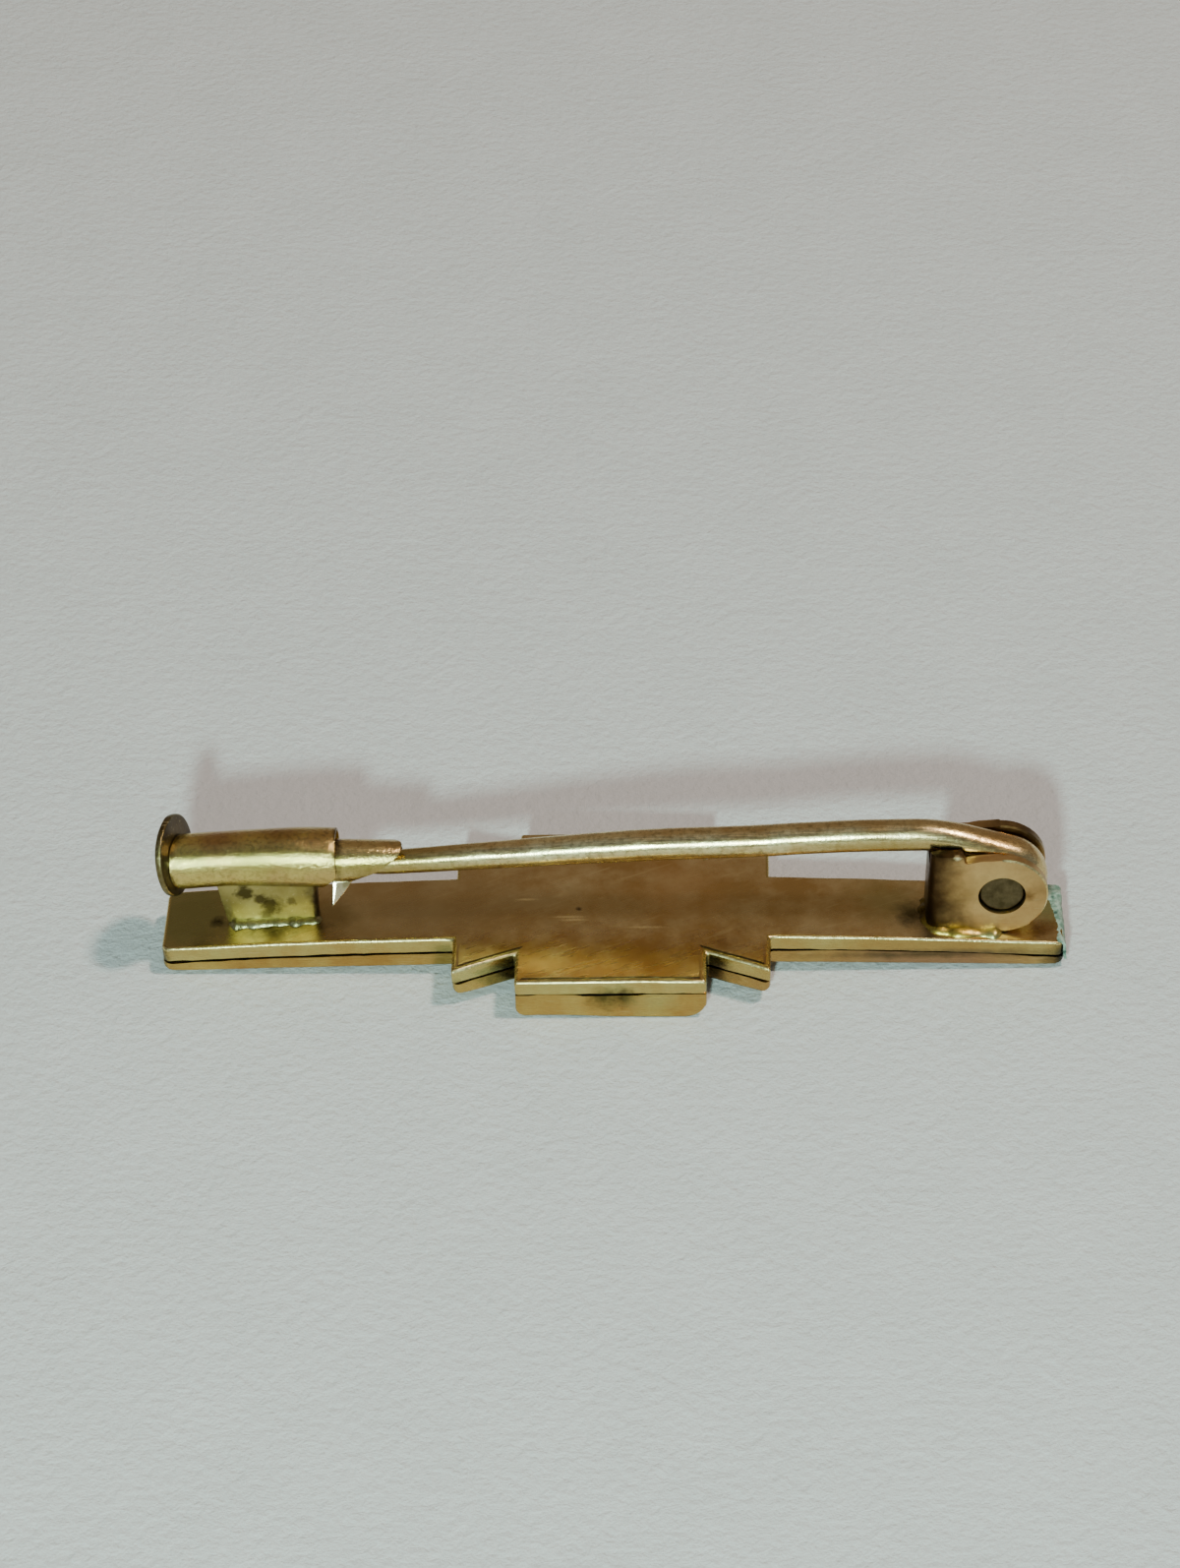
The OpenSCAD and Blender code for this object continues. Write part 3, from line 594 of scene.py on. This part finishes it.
block = bmesh.new()
bmesh.ops.create_cube(block, size=1.0, matrix=Matrix.Diagonal([v * MM for v in BLOCK_SIZE] + [1.0]))
bmesh.ops.translate(block, verts=block.verts[:], vec=(0, 0, BLOCK_SIZE[2] / 2 * MM))
for side, radius in ((-1, 0.45), (1, 0.95)):
    ends = [e for e in block.edges if all(v.co.z < 0.1 * MM and v.co.x * side > 3.9 * MM for v in e.verts)]
    bevel(block, ends, radius, 8)
cut_across(block, [-3.6 + 0.4 * i for i in range(18)])
round_edges(block, 0.08, 3, 50, chosen=lambda e: middle_z(e) < 1.2)
for vert in block.verts:
    left = min(max((0.6 - vert.co.x / MM) / 2.4, 0.0), 1.0)
    if vert.co.z > 1.25 * MM:
        is_open = -1.3 < vert.co.x / MM < 1.5 or vert.co.x / MM < -3.3
        vert.co.z += (0.0 if is_open else 0.07) * MM
    if vert.co.z < 0.6 * MM:
        vert.co.z += 0.12 * left * left * (3 - 2 * left) * MM
wear(block, 2.4, 0.03)
lowest = min(v.co.z for v in block.verts)
bmesh.ops.translate(block, verts=block.verts[:], vec=(0, 0, -lowest))
block_mesh = bpy.data.meshes.new("front_block")
block.to_mesh(block_mesh)
block.free()
bm.from_mesh(block_mesh)
bpy.data.meshes.remove(block_mesh)
front_sheet = make_piece("front_sheet", bm, [lower_gold], "brooch")
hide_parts("front_plate")

# %% [markdown]
# ## The hinge joint
# The joint is cut from sheet as a flat blank with two round ears, drilled, and bent into a U, so
# that the ears stand side by side with the web at their back. The lesson does the same: the blank
# is drawn flat with its holes, cut across where it will bend, thickened and chamfered, and then
# every point is carried round the two bends.

# %% Cut and bend the hinge joint
HINGE_X = 17.2
HINGE_Z = 3.745
WEB_X = 13.95
SHEET = 0.5
BEND = 0.6
HALF_JOINT = 1.42
WEB_HALF = HALF_JOINT - BEND
BEND_LENGTH = BEND * math.pi / 2
EAR_START = WEB_HALF + BEND_LENGTH
EAR_RADIUS = 2.03
HOLE_RADIUS = 1.04
FOOT_Z = back_z(HINGE_X) - 0.1


def blank_s(x):
    """Distance along the blank from the middle of the web to a place on the ear, in mm."""
    return EAR_START + x - WEB_X - BEND


def from_rivet(place):
    """Distance on the flat blank from a place to the middle of its ear's hole, in mm."""
    return math.hypot(abs(place.x) / MM - blank_s(HINGE_X), place.z / MM - HINGE_Z)


ear_end = [(blank_s(16.69), FOOT_Z)]
for i in range(33):
    angle = math.radians(-104.6 + i * (194.6 / 32))
    ear_end.append((blank_s(HINGE_X + EAR_RADIUS * math.cos(angle)), HINGE_Z + EAR_RADIUS * math.sin(angle)))
ear_end += [(blank_s(16.2), 5.71), (blank_s(15.74), 5.61)]
near_ear = ear_end + [(blank_s(x), z) for x, z in ((15.6, 5.58), (15.5, 5.66), (15.44, 5.94), (15.34, 6.0))]
near_ear += [(EAR_START, 5.97), (0.98, 5.95), (0.92, 5.24)]
far_ear = ear_end + [(EAR_START, 5.56), (0.98, 5.5), (0.92, 5.24)]
blank = bmesh.new()
outer = [blank.verts.new((s * MM, 0, z * MM)) for s, z in near_ear]
outer += [blank.verts.new((-s * MM, 0, z * MM)) for s, z in reversed(far_ear)]
for a, b in zip(outer, outer[1:] + outer[:1]):
    blank.edges.new((a, b))
for side in (-1, 1):
    centre = Matrix.Translation((side * blank_s(HINGE_X) * MM, 0, HINGE_Z * MM))
    bmesh.ops.create_circle(
        blank, cap_ends=False, radius=HOLE_RADIUS * MM, segments=48,
        matrix=centre @ Matrix.Rotation(math.pi / 2, 4, "X"))
bmesh.ops.triangle_fill(blank, use_beauty=True, use_dissolve=False, edges=blank.edges[:], normal=(0, -1, 0))
cut_across(blank, [side * (WEB_HALF + BEND_LENGTH * i / 8) for side in (-1, 1) for i in range(9)])
bulk = bmesh.ops.extrude_face_region(blank, geom=blank.faces[:])["geom"]
lifted = [item for item in bulk if isinstance(item, bmesh.types.BMVert)]
bmesh.ops.translate(blank, verts=lifted, vec=(0, SHEET * MM, 0))
bmesh.ops.recalc_face_normals(blank, faces=blank.faces[:])
rims = [e for e in blank.edges if e.is_manifold and e.calc_face_angle(0.0) > math.radians(60)
        and abs(e.verts[0].co.y - e.verts[1].co.y) < 0.01 * MM]
arcs = [e for e in rims if min(abs(v.co.x) for v in e.verts) > blank_s(16.25) * MM
        and max(v.co.z for v in e.verts) > 2.2 * MM and from_rivet(e.verts[0].co) > 1.4]
chamfer = bevel(blank, arcs, 0.07, 1)
rims = [e for e in rims if e.is_valid and e.is_manifold and e.calc_face_angle(0.0) > math.radians(60)]
# The chamfer on the near ear takes the lighter rubbed edge finish, partly wear and partly a painted
# highlight.
for face in chamfer + bevel(blank, rims, 0.08, 1, clamp=True):
    middle = face.calc_center_median()
    face.material_index = 1 if middle.x > blank_s(15.3) * MM and from_rivet(middle) > 1.4 else 0
for vert in blank.verts:
    s, depth = vert.co.x / MM, vert.co.y / MM
    side = -1 if s > 0 else 1
    bent = min(max((abs(s) - WEB_HALF) / BEND_LENGTH, 0.0), 1.0) * math.pi / 2
    flat = max(abs(s) - EAR_START, 0.0)
    x = WEB_X + BEND - (BEND - depth) * math.cos(bent) + flat
    x += 0.03 * (vert.co.z / MM - HINGE_Z) * max(1 - flat / 1.5, 0.0)
    y = min(abs(s), WEB_HALF) + (BEND - depth) * math.sin(bent)
    vert.co.x, vert.co.y = x * MM, side * y * MM
wear(blank, 1.3, 0.015)
make_piece("hinge_joint", blank, [joint_gold, rubbed_edge_and_highlight_gold], "brooch")

# %% [markdown]
# ## The rivet
# The rivet is a grey wire, filed off a little below the faces of the ears. Its ends are slightly
# hollow and scratched, and dirt and painted shade fill the ring round them.

# %% Model the rivet
RIVET_RADIUS = 1.0
RIVET_LENGTH = 2.5
grey, tree, place = new_finish("steel_rivet_filed")
marks = add_node(tree, "TexNoise", {
    "Vector": place, "Scale": scale_for(0.45), "Detail": 5.0, "Roughness": 0.6}).outputs["Fac"]
mark_mask = add_node(tree, "MapRange", {
    "Value": marks, "From Min": 0.35, "From Max": 0.65}).outputs["Result"]
tone = add_node(tree, "Mix", {
    0: mark_mask, 6: to_linear("#4A4029"), 7: to_linear("#685B41")}, data_type="RGBA").outputs[2]
filed = add_node(tree, "Bump", {
    "Height": marks, "Strength": 1.0, "Distance": 0.015 * MM}).outputs["Normal"]
steel = add_node(tree, "BsdfPrincipled", {
    "Base Color": tone, "Metallic": 1.0, "Roughness": 0.3, "Normal": filed})
add_node(tree, "OutputMaterial", {"Surface": steel.outputs["BSDF"]})
bm = bmesh.new()
along_y = Matrix.Translation((HINGE_X * MM, 0, HINGE_Z * MM)) @ Matrix.Rotation(math.pi / 2, 4, "X")
bmesh.ops.create_cone(
    bm, cap_ends=True, cap_tris=False, segments=64, radius1=RIVET_RADIUS * MM, radius2=RIVET_RADIUS * MM,
    depth=RIVET_LENGTH * MM, matrix=along_y)
round_edges(bm, 0.12, 4, 50)
faces = [f for f in bm.faces if abs(f.normal.y) > 0.99]
for thickness, depth in ((0.2, -0.02), (0.3, -0.03), (0.2, -0.01)):
    bmesh.ops.inset_region(bm, faces=faces, thickness=thickness * MM, depth=depth * MM, use_even_offset=True)
rivet = make_piece("rivet", bm, [grey], "brooch", 60)
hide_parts("hinge_rivet")

# %% [markdown]
# ## The pin
# The pin is one drawn wire. It tapers to a ground point inside the catch, rises gently along the
# bar, and wraps round the rivet as a flattened eye. A ring is set at each station of the path, as
# wide and as high as the wire is there, and each ring is bridged to the next.

# %% Sweep the pin
CREST = Vector((13.5, 0, 6.12))
TIP = Vector((-12.2, 0, 4.59))
POINT_LENGTH = 2.6
TIP_RADIUS = 0.12
WIRE_RADIUS = 0.71
SAG, SAG_X, SAG_REACH = 0.13, 6.0, 3.5
EYE_MIDDLE = 1.555
EYE_HALF_WIDTH = 0.78
EYE_HALF_THICKNESS = 0.525
EYE_STEP = 7.6
TAKEOFF = math.radians(75)


def fall(share, bend):
    """Fall of a wire that leaves level and runs straight after a share of its length."""
    return share * share / (bend * (2 - bend)) if share < bend else (2 * share - bend) / (2 - bend)


def sweep(bm, stations, segments, across=None):
    """Bridges rings along a path, given as centre, half width and half height of the wire."""
    rings = []
    for i, (centre, half_width, half_height) in enumerate(stations):
        ahead = stations[min(i + 1, len(stations) - 1)][0] - stations[max(i - 1, 0)][0]
        along = ahead.normalized()
        side = across or Vector((0, 0, 1)).cross(along).normalized()
        lift = along.cross(side)
        axes = Matrix((side * half_width * MM, lift * half_height * MM, along * MM)).transposed().to_4x4()
        ring = bmesh.ops.create_circle(
            bm, cap_ends=False, radius=1.0, segments=segments,
            matrix=Matrix.Translation(centre * MM) @ axes)["verts"]
        rings.append(list(dict.fromkeys(e for v in ring for e in v.link_edges)))
    for a, b in zip(rings, rings[1:]):
        bmesh.ops.bridge_loops(bm, edges=a + b)
    for ring in (rings[0], rings[-1]):
        bmesh.ops.contextual_create(bm, geom=ring)


stations = []
takeoff = Vector((HINGE_X + EYE_MIDDLE * math.cos(TAKEOFF), 0, HINGE_Z + EYE_MIDDLE * math.sin(TAKEOFF)))
for i in range(60, -1, -1):
    share = i / 60
    x = CREST.x + share * (TIP.x - CREST.x)
    z = CREST.z + (TIP.z - CREST.z) * fall(share, 0.49)
    ground = (x - TIP.x) / POINT_LENGTH
    taper = (x - TIP.x - POINT_LENGTH) / (0.5 * (CREST.x - TIP.x) - POINT_LENGTH)
    radius = min(0.54 + 0.17 * taper, WIRE_RADIUS)
    if ground < 1:
        radius = TIP_RADIUS + 0.42 * math.sin(math.pi / 2 * ground)
    z -= SAG * math.exp(-((x - SAG_X) / SAG_REACH) ** 2)
    stations.append((Vector((x, 0, z)), radius, radius))
for i in range(1, 15):
    share = i / 14
    x = CREST.x + share * (takeoff.x - CREST.x)
    z = CREST.z - (CREST.z - takeoff.z) * fall(share, 0.52)
    stations.append((Vector((x, 0, z)), WIRE_RADIUS + 0.07 * share, WIRE_RADIUS - 0.185 * share))
for i in range(1, 37):
    angle = TAKEOFF - math.radians(EYE_STEP * i)
    centre = Vector((HINGE_X + EYE_MIDDLE * math.cos(angle), 0, HINGE_Z + EYE_MIDDLE * math.sin(angle)))
    stations.append((centre, EYE_HALF_WIDTH, EYE_HALF_THICKNESS))
bm = bmesh.new()
sweep(bm, stations, 32, Vector((0, 1, 0)))
wear(bm, 1.8, 0.012)
pin = make_piece("pin_wire", bm, [wire_gold], "pin", 60)
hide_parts("pin_stem")

# %% [markdown]
# ## The catch tube and its post
# The catch is a short tube on a post, and it leans a little, higher at its mouth. Both ends are cut
# on the slant: the outer end follows the flange of the slide, and the mouth is cut back underneath.
# An open cylinder is cut by planes, and only then gets its wall, so that the wall is even at the
# slanted ends too. Years of use have opened the mouth and bowed the tube a little.

# %% Model the catch tube
TUBE_MIDDLE = Vector((-15.571, 0.0, 5.064))
TUBE_HALF = 3.52
TUBE_RADIUS = 1.28
TUBE_WALL = 0.12
TUBE_START = -4.6
tube_place = Matrix.Translation(TUBE_MIDDLE * MM) @ Matrix.Rotation(math.radians(-1.5), 4, "Y")
flange_turn = Matrix.Rotation(math.radians(-13.6), 4, "Z") @ Matrix.Rotation(math.radians(-8.2), 4, "Y")
flange_axis = (flange_turn @ Vector((1, 0, 0))).normalized()


def open_tube(start_x, end_x, radius, cuts, wall):
    """A tube along X, cut by planes that each keep the side their normal points away from."""
    bm = bmesh.new()
    bmesh.ops.create_cone(
        bm, cap_ends=False, cap_tris=False, segments=96, radius1=radius * MM, radius2=radius * MM,
        depth=(end_x - start_x) * MM,
        matrix=Matrix.Translation(((start_x + end_x) / 2 * MM, 0, 0)) @ Matrix.Rotation(math.pi / 2, 4, "Y"))
    rings = int((end_x - start_x) / 0.4)
    cut_across(bm, [start_x + (end_x - start_x) * i / rings for i in range(1, rings)])
    for point, normal in cuts:
        bmesh.ops.bisect_plane(
            bm, geom=bm.verts[:] + bm.edges[:] + bm.faces[:], plane_co=Vector(point) * MM, plane_no=normal,
            clear_outer=True)
    bmesh.ops.remove_doubles(bm, verts=bm.verts[:], dist=0.012 * MM)
    bmesh.ops.recalc_face_normals(bm, faces=bm.faces[:])
    if sum(f.normal.y * f.calc_center_median().y for f in bm.faces) < 0:
        bmesh.ops.reverse_faces(bm, faces=bm.faces[:])
    bmesh.ops.solidify(bm, geom=bm.faces[:], thickness=wall * MM)
    return bm


bm = open_tube(TUBE_START, TUBE_HALF, TUBE_RADIUS, [
    (Vector((-TUBE_HALF, 0, 0)) + flange_axis * 0.05, -flange_axis),
    ((TUBE_HALF, 0, 0), Vector((TUBE_RADIUS, 0, -0.95)).normalized()),
], TUBE_WALL)
round_edges(bm, 0.03, 2, 60)
for vert in bm.verts:
    x = vert.co.x / MM
    opened = min(max((x + 1.8) / 4.4, 0.0), 1.0)
    spread = 0.955 + 0.09 * opened * opened * (3 - 2 * opened)
    vert.co.y *= spread
    vert.co.z = vert.co.z * spread + (0.05 - 0.0105 * (x + 0.2) ** 2) * MM
wear(bm, 1.1, 0.02)
wear(bm, 0.35, 0.006)
bmesh.ops.transform(bm, matrix=tube_place, verts=bm.verts[:])
make_piece("catch_tube", bm, [tube_gold], "brooch")

# %% [markdown]
# The post is a short piece of thick sheet under the tube. It was sawn, not polished: its left edge
# stayed sharp and its right edge was filed round. A bright bead of solder runs along its foot, so
# the bead is a soft wire swept along the foot, with lumps from a smooth noise.

# %% Model the post and its solder
POST_RIGHT = -13.07
POST_MIDDLE = -15.1
POST_TOP, POST_FOOT, POST_SHEET = 4.45, 4.05, 0.9
bm = bmesh.new()
bmesh.ops.create_cube(bm, size=1.0)
for vert in bm.verts:
    high = vert.co.z > 0
    left = POST_RIGHT - (POST_TOP if high else POST_FOOT)
    z = TUBE_MIDDLE.z - 0.9 if high else back_z(-15) - 0.05
    vert.co = Vector((left if vert.co.x < 0 else POST_RIGHT, vert.co.y * POST_SHEET, z)) * MM
for side, radius, segments in ((-1, 0.05, 2), (1, 0.24, 6)):
    corner_x = (POST_MIDDLE + 2 * side) * MM
    edges = [e for e in bm.edges if is_upright(e) and (e.verts[0].co.x - corner_x) * side > 0]
    bevel(bm, edges, radius, segments)
cut_across(bm, [-17.2 + 0.4 * i for i in range(11)])
wear(bm, 0.9, 0.03)
make_piece("catch_post", bm, [post_gold], "brooch")


def solder_bead(name, corners, radius, lumps, finish):
    """A lumpy bead along a path over the back face, given as x and y in mm."""
    places = []
    for a, b in zip(corners, corners[1:]):
        steps = max(int((Vector(b) - Vector(a)).length / 0.12), 1)
        places += [Vector(a).lerp(Vector(b), i / steps) for i in range(steps)]
    places.append(Vector(corners[-1]))
    stations = []
    for i, place in enumerate(places):
        taper = min(1.0, (i + 0.6) / 3, (len(places) - i - 0.4) / 3)
        lump = 1 + lumps * noise.noise(Vector((place.x / 0.5, place.y / 0.5, radius)))
        centre = Vector((place.x, place.y, back_z(place.x) - 0.25 * radius))
        stations.append((centre, radius * lump * taper, 0.75 * radius * lump * taper))
    bm = bmesh.new()
    sweep(bm, stations, 16)
    wear(bm, 0.3, 0.02)
    make_piece(name, bm, [finish], "brooch", 70)


post_foot = [(-17.15, -0.44), (-16.2, -0.47), (-15.0, -0.45), (-14.0, -0.48), (-13.1, -0.42), (-12.9, -0.25)]
solder_bead("post_solder", post_foot, 0.4, 0.4, bead_gold)
joint_foot = [(14.1, 0.9), (14.0, 0.0), (14.02, -0.8), (14.4, -1.25), (15.2, -1.42), (16.2, -1.45)]
solder_bead("joint_solder", joint_foot + [(17.3, -1.42)], 0.46, 0.3, solder_gold)
far_foot = [(14.5, 1.3), (15.6, 1.42), (17.0, 1.42)]
solder_bead("joint_solder_far", far_foot, 0.42, 0.3, solder_gold)

# %% [markdown]
# ## The slide of the catch
# A thinner tube slides inside the catch tube, and it lies a little low in the mouth. Its upper lip
# reaches out over the pin's point, a flange at the outer end gives the fingers a hold, and a small
# tab is bent down from the lower lip, so that it can't be drawn right out.

# %% Model the slide
SLIDE_SHIFT = 0.063
SLIDE_LEAN = math.radians(40)
slide_place = (
    tube_place
    @ Matrix.Translation((0, *(-SLIDE_SHIFT * part(SLIDE_LEAN) * MM for part in (math.sin, math.cos))))
    @ Matrix.Rotation(math.radians(-1.318), 4, "Z") @ Matrix.Rotation(math.radians(1.571), 4, "Y"))
SLIDE_RADIUS = 0.95
SLIDE_WALL = 0.15
LIP = TUBE_HALF + 2.9
MOUTH = [(0, 0.0), (20, 0.05), (32, 0.2), (45, 0.42), (60, 0.74), (77, 1.12), (95, 1.72), (112, 2.12)]
MOUTH += [(140, 2.4), (180, 2.5)]


def mouth_cut(angle):
    """How far the mouth is cut back at an angle round the slide from its lip, in mm."""
    for (a, cut_a), (b, cut_b) in zip(MOUTH, MOUTH[1:]):
        if angle <= b:
            return cut_a + (cut_b - cut_a) * (angle - a) / (b - a)


outer_cut = (Vector((-TUBE_HALF, 0, 0)) - flange_axis * 0.2, -flange_axis)
bm = open_tube(TUBE_START, LIP - 2.6, SLIDE_RADIUS, [outer_cut], SLIDE_WALL)
for vert in bm.verts:
    if vert.co.x > (LIP - 2.61) * MM:
        around = math.degrees(math.atan2(-vert.co.y, vert.co.z)) - 8
        vert.co.x = (LIP - mouth_cut(abs((around + 180) % 360 - 180))) * MM
round_edges(bm, 0.035, 2, 60)
wear(bm, 1.1, 0.012)
wear(bm, 0.35, 0.006)
bmesh.ops.transform(bm, matrix=slide_place, verts=bm.verts[:])
for face in bm.faces:
    face.material_index = 1 if face.normal.x > 0.3 and face.calc_center_median().x > -12.0 * MM else 0
catch_slide = make_piece("slide_tube", bm, [slide_gold, rim_gold], "slide")
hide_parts("catch_slide")

# %% [markdown]
# The tab is a torn scrap of the tube's wall, bent down: three flat faces between five corners, with
# a thickness. The flange is a ring of sheet round the outer end of the slide. It was bent in use, so
# it stands a little askew, and its rim is rubbed brighter than its faces, which are painted dark as
# tarnish and painted shade.

# %% Model the tab and the flange
FLANGE_RADIUS = 1.83
FLANGE_BORE = 0.82
FLANGE_SHEET = 0.3
bm = bmesh.new()
tab_x = LIP - 3.17
corners = [(0.04, 0.0, 0.0), (0.36, 0.0, 0.0), (0.92, 0.05, 0.0), (0.5, -0.05, -0.64), (0.04, -0.62, -0.92)]
spots = [bm.verts.new(((tab_x + x) * MM, (y - 0.48) * MM, (z - 0.84) * MM)) for x, y, z in corners]
for trio in ((0, 4, 1), (1, 4, 3), (1, 3, 2)):
    bm.faces.new([spots[i] for i in trio])
bmesh.ops.recalc_face_normals(bm, faces=bm.faces[:])
if sum(f.normal.y for f in bm.faces) > 0:
    bmesh.ops.reverse_faces(bm, faces=bm.faces[:])
bmesh.ops.solidify(bm, geom=bm.faces[:], thickness=0.16 * MM)
round_edges(bm, 0.03, 2, 50)
bmesh.ops.transform(bm, matrix=slide_place, verts=bm.verts[:])
make_piece("slide_tab", bm, [tab_gold], "slide", 15)

flange_place = tube_place @ Matrix.Translation((-TUBE_HALF * MM, 0, 0)) @ flange_turn
flange_place = flange_place @ Matrix.Translation((0, 0, 0.31 * MM))
bm = bmesh.new()
bmesh.ops.create_circle(bm, cap_ends=False, radius=FLANGE_RADIUS * MM, segments=96)
bmesh.ops.create_circle(
    bm, cap_ends=False, radius=FLANGE_BORE * MM, segments=96, matrix=Matrix.Translation((0.2 * MM, 0, 0)))
bmesh.ops.bridge_loops(bm, edges=bm.edges[:])
disc = bmesh.ops.extrude_face_region(bm, geom=bm.faces[:])["geom"]
lowered = [item for item in disc if isinstance(item, bmesh.types.BMVert)]
bmesh.ops.translate(bm, verts=lowered, vec=(0, 0, -FLANGE_SHEET * MM))
bmesh.ops.recalc_face_normals(bm, faces=bm.faces[:])
round_edges(bm, 0.09, 4)
# The flat faces and the bore take the dark flange finish of tarnish and painted shade; the rim takes the
# rubbed finish.
for face in bm.faces:
    face.material_index = 0 if abs(face.normal.z) > 0.98 or face.calc_center_median().length < 1.3 * MM else 1
wear(bm, 0.8, 0.02)
bmesh.ops.transform(bm, matrix=flange_place @ Matrix.Rotation(math.pi / 2, 4, "Y"), verts=bm.verts[:])
make_piece("slide_flange", bm, [flange_tarnish_and_shade_gold, rim_gold], "slide")

# %% [markdown]
# ## The crust at the end of the bar
# The crust grows on the cut end and laps over the top edge. A grid is laid along the edge, from the
# back face round to the end, and lifted off the metal by a noise. Where the noise is low it dips
# under the metal, so the crust gets a ragged border of its own.

# %% Model the crust
CRUST_LENGTH = 1.75
CRUST_HALF = 1.9
TOP_LAP = 0.75
bm = bmesh.new()
bmesh.ops.create_grid(bm, x_segments=26, y_segments=64, size=1.0)
for vert in bm.verts:
    along, y = (vert.co.x + 1) / 2 * CRUST_LENGTH, vert.co.y * CRUST_HALF
    on_top = max(TOP_LAP - along, 0.0)
    down = max(along - TOP_LAP, 0.0)
    flake = noise.fractal(Vector((along / 0.5, y / 0.5, 7.0)), 1.0, 2.0, 4)
    patch = noise.noise(Vector((y / 1.3, along / 1.3, 2.0)))
    reach = 0.34 + 0.42 * min(max((y + 0.6) / 1.4, 0.0), 1.0)
    height = 0.05 * flake + 0.03 * patch + 0.07 - 0.1 * (on_top / reach) ** 2 - 0.05 * max(down - 0.5, 0.0)
    height += 0.09 * down if y < 0.3 else 0.0
    turn = min(max((along - 0.6) / 0.3, 0.0), 1.0) * math.pi / 2
    edge_in = 0.11 * (1 - abs(2 * turn / (math.pi / 2) - 1))
    x = HALF_BAR - on_top + height * math.sin(turn) - 0.04 - edge_in * 0.4
    z = back_z(HALF_BAR - on_top) - down + height * math.cos(turn) - edge_in * 0.4
    vert.co = Vector((x, y, z)) * MM
bmesh.ops.recalc_face_normals(bm, faces=bm.faces[:])
if sum(f.normal.x + f.normal.z for f in bm.faces) < 0:
    bmesh.ops.reverse_faces(bm, faces=bm.faces[:])
bmesh.ops.solidify(bm, geom=bm.faces[:], thickness=0.12 * MM)
make_piece("verdigris_crust", bm, [verdigris], "brooch", 80)

# %% [markdown]
# ## The paper and the light
# The brooch lies on a sheet of pale paper. Two lamps light it: a cool one close in front, whose
# reflection runs along the tube and the pin and which throws the long shadow behind, and a warmer
# one high on the right, which throws a short shadow to the left. A dim room, grey in front and warm
# behind, fills in the rest, and it is what makes the flat back of the brooch look brown.

# %% Set the stage
paper, tree, place = new_finish("drawing_paper_pale")
fibres = add_node(tree, "TexNoise", {
    "Vector": place, "Scale": scale_for(0.55), "Detail": 6.0, "Roughness": 0.65}).outputs["Fac"]
pulp = add_node(tree, "TexNoise", {
    "Vector": place, "Scale": scale_for(5.0), "Detail": 8.0, "Roughness": 0.7}).outputs["Fac"]
paper_tone = add_node(tree, "Mix", {
    0: pulp, 6: to_linear("#D0D2CF"), 7: to_linear("#E2E3E1")}, data_type="RGBA").outputs[2]
paper_relief = add_node(tree, "Bump", {
    "Height": fibres, "Strength": 0.9, "Distance": 0.2 * MM}).outputs["Normal"]
sheet = add_node(tree, "BsdfPrincipled", {
    "Base Color": paper_tone, "Roughness": 0.85, "Normal": paper_relief})
add_node(tree, "OutputMaterial", {"Surface": sheet.outputs["BSDF"]})
bm = bmesh.new()
bmesh.ops.create_grid(bm, x_segments=1, y_segments=1, size=0.6)
floor_mesh = bpy.data.meshes.new("paper")
bm.to_mesh(floor_mesh)
bm.free()
floor_mesh.materials.append(paper)
floor = bpy.data.objects.new("paper", floor_mesh)
bpy.context.scene.collection.objects.link(floor)
floor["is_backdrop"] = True


def lamp(name, towards, distance, size, watts, colour):
    """A round lamp that faces the brooch, placed in a direction from it."""
    data = bpy.data.lights.new(name, "AREA")
    data.shape = "DISK"
    data.size = size
    data.energy = watts
    data.color = to_linear(colour)[:3]
    place = Vector(towards).normalized() * distance
    lamp_object = bpy.data.objects.new(name, data)
    lamp_object.matrix_world = Matrix.Translation(place) @ place.to_track_quat("Z", "Y").to_matrix().to_4x4()
    bpy.context.scene.collection.objects.link(lamp_object)
    print(name, "at", [round(v, 2) for v in place], "m,", watts, "W")


lamp("cool_front_lamp", (-0.08, -0.87, 0.48), 0.25, 0.018, 0.78, "#C6EEE8")
lamp("warm_high_lamp", (0.47, -0.02, 0.96), 0.8, 0.08, 3.75, "#FFEDE0")
world = bpy.data.worlds.new("dim_room")
world.use_nodes = True
tree = world.node_tree
heading = add_node(tree, "TexCoord", {}).outputs["Generated"]
across_room = add_node(tree, "SeparateXYZ", {"Vector": heading}).outputs["Y"]
far_side = add_node(tree, "MapRange", {
    "Value": across_room, "From Min": -0.1, "From Max": 0.5, "To Min": 0.0, "To Max": 1.0}).outputs["Result"]
room_tone = add_node(tree, "Mix", {
    0: far_side, 6: to_linear("#798087"), 7: to_linear("#867A6C")}, data_type="RGBA").outputs[2]
tree.links.new(room_tone, tree.nodes["Background"].inputs["Color"])
tree.nodes["Background"].inputs["Strength"].default_value = 1.0
bpy.context.scene.world = world

# %% [markdown] ## The size
# The box round the dressed brooch is printed in mm.

# %% Print the size
low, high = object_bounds()
print("dressed box in mm:", [round(v / MM, 2) for v in (*low, *high)])
